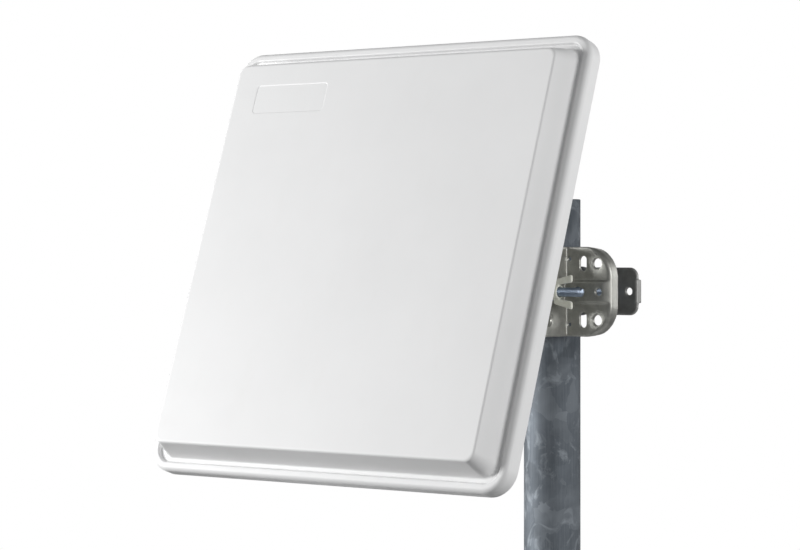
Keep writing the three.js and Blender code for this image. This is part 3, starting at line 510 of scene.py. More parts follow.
def galvanised():
    """Hot-dip zinc: spangle in dull patches, with a grain drawn along the tube."""
    look = Look("galvanised")
    look.set(Metallic=0.75)
    wander = look.node("ShaderNodeTexNoise", {"Vector": look.place, "Scale": 90.0}).outputs["Color"]
    offset = look.node("ShaderNodeVectorMath", {0: wander, 3: 0.012}, operation="SCALE").outputs[0]
    warped = look.node("ShaderNodeVectorMath", {0: look.place, 1: offset}, operation="ADD").outputs[0]
    crystals = look.node("ShaderNodeTexVoronoi", {"Vector": warped, "Scale": 52.0, "Randomness": 1.0})
    shade = look.node("ShaderNodeSeparateColor", {"Color": crystals.outputs["Color"]}).outputs["Red"]
    patches = look.noise(60, 3, 0.55, 0.8)
    base = look.mix(look.spread(patches, 0.35, 0.65), (0.097, 0.111, 0.127), (0.155, 0.174, 0.196))
    drawn = look.noise(1.6, 3, 0.6, place=look.stretched((1, 1, 0.05)))
    base = look.mix(look.spread(drawn, 0.4, 0.75, 0, 0.3), base, (0.23, 0.252, 0.275))
    spangle = look.math("MULTIPLY", look.spread(shade, 0.55, 0.98), look.spread(patches, 0.35, 0.6))
    smudges = look.noise(26, 5, 0.6, 1.4, place=look.stretched((1, 1, 0.8)))
    smudged = look.spread(smudges, 0.53, 0.66, 0, 0.6)
    bright = look.math("MAXIMUM", look.math("MULTIPLY", spangle, 0.55), smudged)
    look.colour(look.mix(bright, base, (0.36, 0.39, 0.42)))
    look.roughness(look.spread(shade, 0, 1, 0.6, 0.78))
    ripples = look.noise(14, 3, 0.5, place=look.stretched((1, 1, 0.4)))
    uneven = look.math("ADD", ripples, look.math("MULTIPLY", look.noise(1.5, 2), 0.4))
    look.bump(look.math("ADD", look.math("MULTIPLY", shade, 0.12), uneven), 0.08, 0.6)
    return look.material


def plated(name, dark, light, roughness, grain_mm, depth_mm, metallic=1.0):
    """A metal finish with tonal drift, rubbed edges and a fine grain."""
    look = Look(name)
    look.set(Metallic=metallic)
    drift = look.noise(6, 4, 0.6)
    base = look.mix(look.spread(drift, 0.3, 0.7), dark, light)
    rubbed = tuple(min(0.95, 1.25 * channel) for channel in light)
    look.colour(look.mix(look.math("MULTIPLY", look.edges(0.51, 0.58), 0.6), base, rubbed))
    look.roughness(look.spread(look.noise(2.5, 3), 0.3, 0.7, *roughness))
    look.bump(look.noise(grain_mm, 3), depth_mm, 0.6)
    return look.material


def brushed(name, dark, light, roughness, along):
    """Sheet metal with a directional grain: `along` is the mapping scale that stretches it."""
    look = Look(name)
    look.set(Metallic=0.9)
    lines = look.noise(0.8, 3, 0.7, place=look.stretched(along))
    cloudy = look.noise(40, 4, 0.6)
    base = look.mix(look.spread(cloudy, 0.3, 0.7), dark, light)
    shaded = tuple(0.75 * channel for channel in light)
    look.colour(look.mix(look.spread(lines, 0.45, 0.75, 0, 0.35), base, shaded))
    look.roughness(look.spread(look.math("ADD", lines, cloudy), 0.7, 1.3, *roughness))
    look.bump(lines, 0.02, 0.5)
    return look.material


def plain_polymer(name, dark, light, roughness):
    """A moulded plastic or rubber with a fine matt grain."""
    look = Look(name)
    drift = look.noise(5, 3)
    look.colour(look.mix(look.spread(drift, 0.3, 0.7), dark, light))
    look.roughness(look.spread(look.noise(3, 3), 0.3, 0.7, *roughness))
    look.bump(look.noise(0.6, 2), 0.03, 0.6)
    return look.material


def circuit_board():
    """Green board with a woven glass pattern."""
    look = Look("circuit_board")
    weave = look.node("ShaderNodeTexBrick", {"Vector": look.place, "Scale": 500.0}).outputs["Fac"]
    drift = look.noise(20, 3)
    base = look.mix(look.spread(drift, 0.3, 0.7), (0.02, 0.085, 0.035), (0.03, 0.12, 0.05))
    look.colour(look.mix(look.math("MULTIPLY", weave, 0.2), base, (0.05, 0.16, 0.07)))
    look.roughness(look.spread(look.noise(4, 3), 0.3, 0.7, 0.3, 0.42))
    look.bump(weave, 0.02, 0.4)
    return look.material


WHITE = moulded_white()
BRACKET = passivated_steel("bracket_steel", (0.36, 0.36, 0.335), (0.50, 0.50, 0.465), (0.36, 0.50))
# The rear clamp has the bracket's finish in darker tones. This is painted shade for its place behind the panel.
SHADED_CLAMP_STEEL = passivated_steel("clamp_steel", (0.30, 0.30, 0.29), (0.40, 0.40, 0.39), (0.44, 0.6))
GALVANISED = galvanised()
BLUE_ZINC = plated("blue_zinc", (0.27, 0.33, 0.42), (0.41, 0.48, 0.58), (0.32, 0.42), 0.9, 0.01)
CAST_ZINC = plated("cast_zinc", (0.80, 0.80, 0.68), (0.93, 0.93, 0.83), (0.42, 0.58), 0.7, 0.05, metallic=0.1)
NICKEL = plated("nickel", (0.58, 0.55, 0.49), (0.70, 0.67, 0.61), (0.16, 0.28), 0.5, 0.01)
COPPER = plated("copper", (0.62, 0.30, 0.16), (0.78, 0.42, 0.25), (0.25, 0.42), 0.5, 0.01)
COVER_DARK, COVER_LIGHT = (0.50, 0.51, 0.52), (0.60, 0.61, 0.62)
COVER_METAL = brushed("cover_aluminium", COVER_DARK, COVER_LIGHT, (0.36, 0.5), (0.04, 1, 1))
ALUMINIUM = brushed("mill_aluminium", (0.62, 0.63, 0.64), (0.72, 0.73, 0.74), (0.3, 0.45), (1, 1, 0.05))
RUBBER = plain_polymer("black_rubber", (0.012, 0.012, 0.013), (0.022, 0.022, 0.024), (0.6, 0.75))
PTFE = plain_polymer("white_ptfe", (0.78, 0.78, 0.76), (0.84, 0.84, 0.82), (0.35, 0.45))
BLACK_PLASTIC = plain_polymer("black_plastic", (0.015, 0.015, 0.017), (0.028, 0.028, 0.03), (0.4, 0.55))
BOARD = circuit_board()

# ---------- Mast ----------


def mast_tube():
    low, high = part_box("mast_tube")
    shape = tube(MAST_RADIUS - MAST_WALL, MAST_RADIUS, low.z / MM, high.z / MM, 0.5, sides=96)
    upright = Matrix.Rotation(-math.pi / 2, 4, "Y")
    mesh = make_mesh("mast_tube", moved(shape, upright))
    here = Matrix.Identity(4)
    add_piece("mast", mesh, here, "mast", GALVANISED, "galvanised", "mast_tube", flat_faces=True)


# ---------- Mast clamp ----------


def saddle_field(from_axis):
    """Sheet rolled round the mast, to be cut to each half's own extent."""
    return np.abs(from_axis - SADDLE_RADIUS - SHEET / 2) - SHEET / 2


def bracket_field(x, y, z):
    """The mast bracket about its centre on the mast's axis."""
    x = np.abs(x)
    turned_rim = smooth_step(EAR_TURN_FROM_X, EAR_TURN_TO_X, x)
    across_rib = smooth_step(RIB_HALF_BASE - 0.2, RIB_HALF_TOP + 0.2, np.abs(z))
    pressed_y = y + RIB_HEIGHT * across_rib * smooth_step(RIB_END_X, RIB_FULL_TO_X, x)
    outline = rounded_rectangle(x, z, EAR_REACH, EAR_HALF_HEIGHT, EAR_CORNER)
    past_ear = 30
    outside_edge, inside_edge = 0.8 + 3.2 * turned_rim, 0.3 + 1.2 * turned_rim
    outside = slab(outline, pressed_y, EAR_FRONT_Y, EAR_FRONT_Y + past_ear, outside_edge)
    inside = slab(outline + SHEET, pressed_y, EAR_BACK_Y, EAR_BACK_Y + 2 * past_ear, inside_edge)
    rim_back_y = EAR_BACK_Y + (RIM_FLANGE_DEPTH - SHEET) * turned_rim
    ears = smooth_max(smooth_max(outside, -inside, 0.6), y - rim_back_y, 0.6)

    from_axis = np.hypot(x, y)
    saddle = saddle_field(from_axis)
    saddle = np.maximum(saddle, y - EAR_BACK_Y)
    saddle = smooth_max(saddle, np.abs(z) - EAR_HALF_HEIGHT, 0.8)
    body = smooth_min(ears, saddle, 3.0)

    far_y = 30
    half_length = (far_y - WALL_FRONT_Y) / 2
    along = y - far_y + half_length
    wall_side = rounded_rectangle(along, z, half_length, EAR_HALF_HEIGHT, WALL_NOSE_RADIUS)
    wall = slab(wall_side, x, WALL_INNER_X, WALL_OUTER_X, 0.7)
    wall = np.maximum(wall, y - EAR_BACK_Y + 0.3)
    body = np.minimum(body, wall)
    body = smooth_max(body, SADDLE_RADIUS - from_axis, 0.5)

    above = np.abs(z)
    slot_z = above - EAR_HOLE_Z
    holes = [
        np.hypot(y - LIFT_PIVOT_Y, z) - PIVOT_HOLE_RADIUS,
        np.hypot(y - WALL_HOLE_Y, above - WALL_HOLE_Z) - WALL_HOLE_RADIUS,
        np.hypot(x - CLAMP_BOLT_X, z) - M8_HOLE_RADIUS,
        np.hypot(x - OUTER_HOLE_X, z) - OUTER_HOLE_RADIUS,
        rounded_rectangle(x - SLOT_X, slot_z, SLOT_HALF_WIDTH, SLOT_HALF_HEIGHT, SLOT_HALF_WIDTH),
        np.hypot(x - EAR_HOLE_X, slot_z) - M8_HOLE_RADIUS,
        np.hypot(x - RELIEF_HOLE_X, above - RELIEF_HOLE_Z) - RELIEF_HOLE_RADIUS,
    ]
    for hole in holes:
        body = smooth_max(body, -hole, 0.7)
    return body


def rear_clamp_field(x, y, z):
    """The rear clamp: a plate with turned ends and a saddle behind the mast."""
    x = np.abs(x)
    outline = rounded_rectangle(x, z, REAR_REACH, REAR_HALF_HEIGHT, REAR_CORNER)
    plate = slab(outline, y, REAR_FRONT_Y, REAR_FRONT_Y + SHEET, 0.7)
    turned_end = slab(outline, y, REAR_FRONT_Y, REAR_FRONT_Y + END_FLANGE_DEPTH, 0.7)
    turned_end = np.maximum(turned_end, REAR_REACH - SHEET - x)
    turned_end = smooth_max(turned_end, np.abs(z) - END_FLANGE_HALF_HEIGHT, 0.8)
    body = smooth_min(plate, turned_end, 1.8)
    bend = rounded_rectangle(x, y - REAR_FRONT_Y - 40, REAR_REACH, 40, 2.6)
    body = smooth_max(body, np.where(np.abs(z) < END_FLANGE_HALF_HEIGHT, bend, body), 0.3)
    from_axis = np.hypot(x, y)
    saddle = saddle_field(from_axis)
    saddle = smooth_max(np.maximum(saddle, REAR_FRONT_Y - y), np.abs(z) - REAR_HALF_HEIGHT, 0.8)
    body = smooth_min(body, saddle, 3.0)
    body = smooth_max(body, SADDLE_RADIUS - from_axis, 0.5)
    for hole_x, radius in ((CLAMP_BOLT_X, M8_HOLE_RADIUS), (OUTER_HOLE_X, OUTER_HOLE_RADIUS)):
        body = smooth_max(body, radius - np.hypot(x - hole_x, z), 0.5)
    return body


def hex_head_field(x, y, z):
    """An M8 bolt's head on the -X side of its seat at x = 0, with a washer face."""
    from_axis = np.hypot(y, z)
    hexed = slab(hexagon(y, z, M8_ACROSS_FLATS), x, -M8_HEAD_HEIGHT, -0.4, 0.25)
    chamfer = from_axis - 7.3 - (x + M8_HEAD_HEIGHT) * 1.6
    seat = slab(from_axis - 5.9, x, -0.6, 0, 0.15)
    return np.minimum(smooth_max(hexed, chamfer, 0.3), seat)


def hex_nut_field(across_flats, height, bore):
    """The field of a chamfered nut along +X from its seat at x = 0, with the radius of its bore."""

    def field(x, y, z):
        from_axis = np.hypot(y, z)
        body = slab(hexagon(y, z, across_flats), x, 0, height, 0.2)
        corner_reach = across_flats * 0.56
        body = smooth_max(body, from_axis - corner_reach - x * 1.7, 0.3)
        body = smooth_max(body, from_axis - corner_reach - (height - x) * 1.7, 0.3)
        countersink = from_axis - bore - 0.9 + 1.2 * np.minimum(x, height - x)
        return smooth_max(smooth_max(body, bore - from_axis, 0.3), -countersink, 0.3)

    return field


def wing_nut_field(x, y, z):
    """A cast wing nut along +X from its seat at x = 0, its two ears widening away from the hub."""
    from_axis = np.hypot(y, z)
    hub = slab(from_axis - 6.9 + 0.14 * x, x, 0, 6.4, 0.9)
    above = np.abs(z)
    inner_edge = 0.151 * (x - 1) - 0.989 * (above - 5.4)
    outer_edge = 0.967 * (above - 10.4) - 0.254 * (x - 1)
    outline = smooth_max(smooth_max(inner_edge, outer_edge, 1.4), x - 19.3, 2.2)
    outline = smooth_max(outline, 0.6 - x, 1.5)
    half_thickness = 2.2 - 0.045 * x
    ears = corner_distance(outline + 0.9, np.abs(y) - half_thickness + 0.9) - 0.9
    body = smooth_min(hub, ears, 1.4)
    body = smooth_max(body, 4.2 - from_axis + 0.25 * np.maximum(x - 4, 0), 0.4)
    return np.maximum(body, -x)


def bolt_mesh(name, length, thread_from):
    """An M8 bolt along +X with the seat of its head at x = 0."""
    head = surface(hex_head_field, (-5.9, -8, -8.2), (0.6, 8, 8.2), 0.3)
    return make_mesh(name, merged(head, threaded_rod(M8_RADIUS, M8_PITCH, -1, thread_from, length)))


def m8_nut_mesh(name):
    nut = hex_nut_field(M8_ACROSS_FLATS, M8_NUT_HEIGHT, M8_NUT_BORE)
    return make_mesh(name, surface(nut, (-0.6, -8.2, -8.2), (7.1, 8.2, 8.2), 0.35))


def m8_washer_mesh(name):
    return make_mesh(name, tube(M8_WASHER_BORE, M8_WASHER_RADIUS, 0, M8_WASHER_THICKNESS, 0.2))


def mast_clamp():
    """The two pressings that hold the mast, and the bolts that draw them together."""
    step = 0.8
    bracket = surface(bracket_field, (-80, -67.5, -40.4), (80, -9, 40.4), step)
    mesh = make_mesh("mast_bracket_pressing", bracket)
    add_piece("mast_bracket_pressing", mesh, AT_BRACKET, "clamp", BRACKET, "bracket_steel", "mast_bracket")
    rear = surface(rear_clamp_field, (-77.5, 20, -22.5), (77.5, 30.5, 22.5), step)
    mesh = make_mesh("rear_clamp_pressing", rear)
    add_piece("rear_clamp_pressing", mesh, AT_BRACKET, "clamp", SHADED_CLAMP_STEEL, "clamp_steel", "rear_clamp")

    tip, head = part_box("clamp_bolt_left")
    head_y = head.y - M8_HEAD_HEIGHT * MM
    bolt = bolt_mesh("clamp_bolt", (head_y - tip.y) / MM, 12)
    washer = m8_washer_mesh("m8_washer")
    nut = m8_nut_mesh("weld_nut")
    for side in ("left", "right"):
        low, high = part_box(f"clamp_bolt_{side}")
        x = (low.x + high.x) / 2
        seat = Matrix.Translation((x, head_y, BRACKET_CENTRE.z))
        node = f"clamp_bolt_{side}"
        add_piece(f"{node}_m8", bolt, seat @ X_TO_MINUS_Y, "clamp", BLUE_ZINC, "blue_zinc", node)
        for kind, shape, flat in (("washer", washer, True), ("nut", nut, False)):
            node = f"clamp_{kind}_{side}"
            place = Matrix.Translation((x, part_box(node)[0].y, BRACKET_CENTRE.z)) @ X_TO_Y
            add_piece(f"{node}_m8", shape, place, "clamp", BLUE_ZINC, "blue_zinc", node, flat_faces=flat)


def pivot(bolt_node, washer_node, wing_node, bolt_body, wing_body):
    """A pivot bolt with its washer and wing nut, all along +X."""
    low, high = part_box(bolt_node)
    centre = Vector((0, (low.y + high.y) / 2, (low.z + high.z) / 2))
    seat_x = low.x / MM + M8_HEAD_HEIGHT
    bolt = bolt_mesh(bolt_node, high.x / MM - seat_x, 60)
    at_seat = Matrix.Translation(centre + Vector((seat_x * MM, 0, 0)))
    add_piece(f"{bolt_node}_m8", bolt, at_seat, bolt_body, BLUE_ZINC, "blue_zinc", bolt_node)
    washer = m8_washer_mesh(washer_node)
    at_washer = Matrix.Translation(centre + Vector((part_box(washer_node)[0].x, 0, 0)))
    name = f"{washer_node}_m8"
    add_piece(name, washer, at_washer, bolt_body, BLUE_ZINC, "blue_zinc", washer_node, flat_faces=True)
    wing = make_mesh(wing_node, surface(wing_nut_field, (-0.8, -9, -16.4), (20.1, 9, 16.4), 0.35))
    at_wing = Matrix.Translation(centre + Vector((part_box(wing_node)[0].x, 0, 0)))
    add_piece(f"{wing_node}_cast", wing, at_wing, wing_body, CAST_ZINC, "cast_zinc", wing_node)


# ---------- Tilt arms ----------


def arm_field(x, y, z):
    """One arm plate, its inner face at x = 0, about the lift pivot."""
    outline = segment(y, z, (0, 0), (-ARM_LENGTH, 0)) - ARM_HALF_HEIGHT
    body = slab(outline, x, 0, SHEET, 0.7)
    for hole_y in (0, -ARM_LENGTH / 2, -ARM_LENGTH):
        body = smooth_max(body, PIVOT_HOLE_RADIUS - np.hypot(y - hole_y, z), 0.6)
    return body


def tilt_arms():
    """The two arms, with the spacer, tie bolt and nut between them."""
    reach = ARM_HALF_HEIGHT + 1
    low_corner, high_corner = (-1, -ARM_LENGTH - reach, -reach), (SHEET + 1, reach, reach)
    arm = make_mesh("tilt_arm", surface(arm_field, low_corner, high_corner, 0.7))
    for side in ("left", "right"):
        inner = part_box(f"arm_{side}")[0].x
        place = Matrix.Translation((inner, LIFT_PIVOT.y, LIFT_PIVOT.z))
        add_piece(f"tilt_arm_{side}", arm, place, "arm", BRACKET, "bracket_steel", f"arm_{side}")

    low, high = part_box("arm_spacer")
    middle = Vector((0, (low.y + high.y) / 2, (low.z + high.z) / 2))
    spacer = make_mesh("spacer_tube", tube(4.4, 7, low.x / MM, high.x / MM, 0.5))
    at_middle = Matrix.Translation(middle)
    add_piece("spacer_tube", spacer, at_middle, "arm", ALUMINIUM, "aluminium", "arm_spacer", flat_faces=True)
    low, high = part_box("arm_tie_bolt")
    seat_x = low.x + M8_HEAD_HEIGHT * MM
    bolt = bolt_mesh("tie_bolt", (high.x - seat_x) / MM, 48)
    at_seat = Matrix.Translation(middle + Vector((seat_x, 0, 0)))
    add_piece("tie_bolt_m8", bolt, at_seat, "arm", BLUE_ZINC, "blue_zinc", "arm_tie_bolt")
    nut = m8_nut_mesh("tie_nut")
    at_nut = Matrix.Translation(middle + Vector((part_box("arm_tie_nut")[0].x, 0, 0)))
    add_piece("tie_nut_m8", nut, at_nut, "arm", BLUE_ZINC, "blue_zinc", "arm_tie_nut")


# ---------- Panel ----------


def radome_section():
    """(half size, depth) points round the radome's wall, from the face's front to its inside."""
    outline = [(FACE_HALF - 12, 0)]
    outline += arc((FACE_HALF - 1.8, 2.6), 2.6, -90, -19.3, 7)
    outline += arc((176.1, 20.6), 1.6, 160.7, 90, 6)
    outline += arc((177.7, 21.2), 1.0, 90, 30, 3)
    outline += arc((180.3, 20.9), 1.4, 200, 270, 5)
    outline += arc((182.2, 23.9), 4.4, 275, 360, 9)
    outline += arc((185.4, 32.8), 1.2, 0, 90, 4)
    outline += arc((183.5, 33.5), 0.5, 90, 180, 3)
    outline += [(182.8, 32.2), (182.6, 31.7), (176.2, 31.7)]
    outline += [(175.7, 31.4), (175.7, 30.1), (172.7, 30.1)]
    outline += arc((171.2, 22.6), 1.3, 0, -19.3, 2)
    outline += arc((FACE_HALF - 4.2, 5.2), 2.6, -19.3, -90, 4)
    outline += [(FACE_HALF - 14, 2.6)]
    return outline


def corner_radius(half):
    """The corner radius of the radome's section at a half size: tight on the face, wide on the rim."""
    on_wall = 8 + max(0.0, half - FACE_HALF)
    concentric = RIM_CORNER - (RIM_HALF - half)
    share = min(1.0, max(0.0, (half - 172) / 6))
    return max(3.0, on_wall * (1 - share) + concentric * share)


def label_rings():
    """The edge of a blank, shallow label recess in the face, from the face to its floor."""
    rings = []
    for spread, depth in ((1.0, 0), (0.6, 0.09), (0.25, LABEL_DEPTH - 0.07), (0, LABEL_DEPTH)):
        half_x, half_z = LABEL_HALF_WIDTH + spread, LABEL_HALF_HEIGHT + spread
        ring = square_ring(half_x, half_z, LABEL_CORNER + spread, at_depth(depth), 5)
        rings.append([(x + LABEL_X, y, z + LABEL_Z) for x, y, z in ring])
    return rings


def radome():
    """The white shell: its wall, and a face whose front is filled in round the label recess."""
    rings = [
        square_ring(half, half, corner_radius(half), at_depth(depth))
        for half, depth in radome_section()
    ]
    sides = len(rings[0])
    faces = [list(face)[::-1] for face in band_quads(len(rings), sides)]
    last = (len(rings) - 1) * sides
    faces.append(list(range(last, last + sides))[::-1])

    recess = label_rings()
    recess_sides = len(recess[0])
    first = len(rings) * sides
    recess_wall = band_quads(len(recess), recess_sides)
    faces += [[first + corner for corner in face] for face in recess_wall]
    floor = first + (len(recess) - 1) * recess_sides
    faces.append(list(range(floor, floor + recess_sides)))

    loops = [[Vector(point) for point in ring] for ring in (rings[0], recess[0])]
    corners = loops[0] + loops[1]
    for triangle in tessellate_polygon(loops):
        a, b, c = (corners[index] for index in triangle)
        face = [index if index < sides else first + index - sides for index in triangle]
        faces.append(face if (b - a).cross(c - a).y < 0 else face[::-1])
    mesh = make_mesh("radome_shell", (np.concatenate(rings + recess), faces))
    add_piece("radome_shell", mesh, AT_PANEL, "panel", WHITE, "radome_white", "radome", flat_faces=True)


def back_cover():
    """A flat plate with a pressed pad and four threaded studs."""
    plate = 2
    back, inner = at_depth(RIM_BACK_DEPTH), at_depth(RIM_BACK_DEPTH - plate)
    pad_back = back + PAD_HEIGHT
    section = [
        (60, 70, 9, pad_back),
        (62.2, 72.2, 11, pad_back - 0.3),
        (63.2, 73.2, 12, pad_back - 1.4),
        (65.0, 75.0, 14, back + 1.2),
        (66.0, 76.0, 15, back + 0.25),
        (68.5, 78.5, 17, back),
        (181.8, 181.8, 16.3, back),
        (182.5, 182.5, 17, back - 0.6),
        (182.5, 182.5, 17, inner + 0.4),
        (182.1, 182.1, 16.6, inner),
        (67.0, 77.0, 16, inner),
        (64.0, 74.0, 13, inner + 0.5),
        (61.5, 71.5, 10.5, pad_back - 2.6),
        (59.5, 69.5, 8.5, pad_back - plate),
    ]
    rings = [square_ring(half_x, half_z, radius, y) for half_x, half_z, radius, y in section]
    sides = len(rings[0])
    faces = [list(face) for face in band_quads(len(rings), sides)]
    faces.append(list(range(sides))[::-1])
    last = (len(rings) - 1) * sides
    faces.append(list(range(last, last + sides)))
    shapes = [(np.concatenate(rings), faces)]
    for x in (-STUD_X, STUD_X):
        for z in (-STUD_Z, STUD_Z):
            stud = threaded_rod(3, 1.0, 0, 2, 14, sides=24)
            place = Matrix.Translation((x, pad_back - 1, z)) @ X_TO_Y
            shapes.append(moved(stud, place))
    mesh = make_mesh("back_plate", merged(*shapes))
    slot = "cover_aluminium"
    add_piece("back_plate", mesh, AT_PANEL, "panel", COVER_METAL, slot, "back_cover", flat_faces=True)


def yoke_field(x, y, z):
    """The yoke's channel: a base on the pad, and two ears that taper to the tilt pivot's eyes."""
    base_y = at_depth(PAD_BACK_DEPTH) + YOKE_BASE_GAP
    eye = np.hypot(y, z) - YOKE_EYE_RADIUS
    above = np.abs(z)
    corner_y = base_y + YOKE_EAR_STEP
    reach = math.hypot(corner_y, YOKE_HALF_HEIGHT)
    slope = math.atan2(YOKE_HALF_HEIGHT, -corner_y) - math.asin(YOKE_EYE_RADIUS / reach)
    taper = above * math.cos(slope) + y * math.sin(slope) - YOKE_EYE_RADIUS
    ends = np.maximum(y, base_y - 5 - y)
    side = np.maximum(np.maximum(taper, above - YOKE_HALF_HEIGHT), ends)
    side = smooth_min(side, eye, 0.2)
    half_depth = 60
    outer = rounded_rectangle(x, y - base_y - half_depth, YOKE_HALF_WIDTH, half_depth, 4.5)
    inner_y = y - base_y - SHEET - half_depth
    inner = rounded_rectangle(x, inner_y, YOKE_HALF_WIDTH - SHEET, half_depth, 1.8)
    channel = smooth_max(outer, -inner, 0.5)
    body = smooth_max(channel, side, 0.9)
    body = smooth_max(body, PIVOT_HOLE_RADIUS - np.hypot(y, z), 0.6)
    stud_holes = YOKE_STUD_HOLE_RADIUS - np.hypot(np.abs(x) - STUD_X, above - STUD_Z)
    past_base = np.where(y > base_y + 6, 9, 0)  # keeps the holes out of the ears
    return smooth_max(body, stud_holes - past_base, 0.6)


def on_panel(x, y, z):
    """A place in the panel's own axes, in millimetres, with +X turned to point out of its back."""
    return AT_PANEL @ Matrix.Translation(Vector((x, y, z)) * MM) @ X_TO_Y


def pan_screw_field(x, y, z):
    """A pan-head screw with a cross recess, its seat at x = 0 and its head on the -X side."""
    from_axis = np.hypot(y, z)
    dome = np.sqrt((x - 1.9) ** 2 + from_axis**2) - 4.1
    head = smooth_max(slab(from_axis - 3.2, x, -2.3, 0, 0.3), dome, 0.4)
    pitch = 1.3
    angle = np.arctan2(z, y) / (2 * math.pi)
    thread = 0.25 * np.abs((x / pitch + angle) % 1 - 0.5) * 2
    shank = slab(from_axis - 1.6 + thread, x, -0.5, 6, 0.3)
    slot, slot_reach = 0.42, 1.75
    cross = np.minimum(
        np.maximum(np.abs(y) - slot, np.abs(z) - slot_reach),
        np.maximum(np.abs(z) - slot, np.abs(y) - slot_reach),
    )
    recess = np.maximum(cross, x + 1.1)
    return smooth_max(np.minimum(head, shank), -recess, 0.15)


def connector_field(x, y, z):
    """The N socket along +X: hex flange at x = 0, threaded barrel, and its bore."""
    from_axis = np.hypot(y, z)
    angle = np.arctan2(z, y) / (2 * math.pi)
    tip, pitch = CONNECTOR_LENGTH, 1.06
    wave = 0.38 * (1 - 2 * np.abs((x / pitch + angle) % 1 - 0.5))
    groove = wave * smooth_step(9, 10.5, x) * smooth_step(tip - 0.8, tip - 2, x)
    barrel = slab(from_axis - 7.9 + groove, x, 1, tip, 0.4)
    flange = slab(hexagon(y, z, 19), x, 0, 2.5, 0.3)
    body = np.minimum(barrel, flange)
    return smooth_max(body, 5.4 - from_axis, 0.4)


def vent_field(x, y, z):
    """The vent plug along +X: a low domed head with two slots, and its stem."""
    from_axis = np.hypot(y, z)
    dome = np.sqrt((x + 7.5) ** 2 + from_axis**2) - 10.6
    head = smooth_max(slab(from_axis - 6, x, 0, 2.5, 0.5), dome, 0.5)
    slots = np.maximum(np.abs(np.abs(y) - 2.2) - 0.4, np.abs(z) - 4.2)
    head = smooth_max(head, -np.maximum(slots, 1.2 - x), 0.2)
    return np.minimum(head, slab(from_axis - 2.4, x, -5, 1, 0.3))


def panel_fittings():
    """What is fastened to the back cover: yoke, nuts, screws, connector and vent."""
    pad_back = at_depth(PAD_BACK_DEPTH)
    yoke = surface(yoke_field, (-26.3, pad_back - 0.7, -46.5), (26.3, 14.5, 46.5), 0.8)
    mesh = make_mesh("yoke_pressing", yoke)
    add_piece("yoke_pressing", mesh, AT_PANEL, "panel", BRACKET, "bracket_steel", "panel_yoke")

    m6_nut = hex_nut_field(10, 5, 3.15)
    stud_nut = make_mesh("m6_nut", surface(m6_nut, (-0.6, -6.4, -6.4), (5.6, 6.4, 6.4), 0.3))
    seat_y = pad_back + SHEET + 2 * YOKE_BASE_GAP
    corners = ((-STUD_X, STUD_Z), (STUD_X, STUD_Z), (STUD_X, -STUD_Z), (-STUD_X, -STUD_Z))
    for index, (x, z) in enumerate(corners, 1):
        node = f"stud_nut_{index}"
        place = on_panel(x, seat_y, z)
        add_piece(f"{node}_m6", stud_nut, place, "panel", BLUE_ZINC, "blue_zinc", node)

    screw = make_mesh("pan_screw", surface(pan_screw_field, (-2.8, -3.7, -3.7), (6.5, 3.7, 3.7), 0.2))
    for index in range(1, 9):
        node = f"cover_screw_{index}"
        low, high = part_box(node)
        centre = AT_PANEL.inverted() @ ((low + high) / 2)
        seat = Vector((centre.x, at_depth(RIM_BACK_DEPTH) * MM + SEAT_GAP * MM, centre.z))
        place = AT_PANEL @ Matrix.Translation(seat) @ X_TO_MINUS_Y
        add_piece(f"{node}_pan", screw, place, "panel", NICKEL, "nickel", node)

    outside_y = at_depth(RIM_BACK_DEPTH) + SEAT_GAP
    barrel = surface(connector_field, (-0.7, -11.5, -11.5), (29.5, 11.5, 11.5), 0.3)
    socket = make_mesh("n_socket", barrel)
    at_connector = on_panel(0, at_depth(CONNECTOR_SEAT_DEPTH), CONNECTOR_Z)
    add_piece("n_socket", socket, at_connector, "panel", NICKEL, "nickel", "connector_body")
    gasket_thickness = 1.5
    gasket = make_mesh("socket_gasket", tube(8.2, 11, 0, gasket_thickness, 0.25))
    place, slot = on_panel(0, outside_y, CONNECTOR_Z), "rubber_black"
    add_piece("socket_gasket", gasket, place, "panel", RUBBER, slot, "connector_gasket", flat_faces=True)
    socket_nut = surface(hex_nut_field(20, 4, 8.1), (-0.6, -12, -12), (4.6, 12, 12), 0.35)
    nut = make_mesh("socket_nut", socket_nut)
    at_nut = on_panel(0, outside_y + gasket_thickness + SEAT_GAP, CONNECTOR_Z)
    add_piece("socket_nut", nut, at_nut, "panel", NICKEL, "nickel", "connector_nut")
    vent = make_mesh("vent_cap", surface(vent_field, (-5.6, -6.8, -6.8), (3.3, 6.8, 6.8), 0.25))
    at_vent = on_panel(VENT_X, outside_y, VENT_Z)
    add_piece("vent_cap", vent, at_vent, "panel", BLACK_PLASTIC, "black_plastic", "vent_plug")


def inner_pieces():
    """The pieces inside the panel keep their CAD shape, with softened edges and their own finish."""
    finishes = {
        "rim_gasket": RUBBER,
        "reflector_tray": ALUMINIUM,
        "patch_board": BOARD,
        "patch_array": COPPER,
        "feed_coax": COPPER,
        "connector_insulator": PTFE,
        "connector_pin": COPPER,
    }
    for index in range(1, 5):
        finishes[f"standoff_{index}"] = NICKEL
        finishes[f"board_screw_{index}"] = NICKEL
    for node, material in finishes.items():
        shown = frame["nodes"][node]
        shown.data.materials.clear()
        shown.data.materials.append(material)
        softened = shown.modifiers.new("soft_edges", "BEVEL")
        softened.width = 0.12 * MM
        softened.segments = 2
        softened.limit_method = "ANGLE"
        softened.harden_normals = False


mast_tube()
mast_clamp()
pivot("lift_pivot_bolt", "lift_washer", "lift_wing_nut", "clamp", "lift_wing")
tilt_arms()
pivot("tilt_pivot_bolt", "tilt_washer", "tilt_wing_nut", "arm", "tilt_wing")
radome()
back_cover()
panel_fittings()
inner_pieces()

# ---------- Stage, light and camera ----------


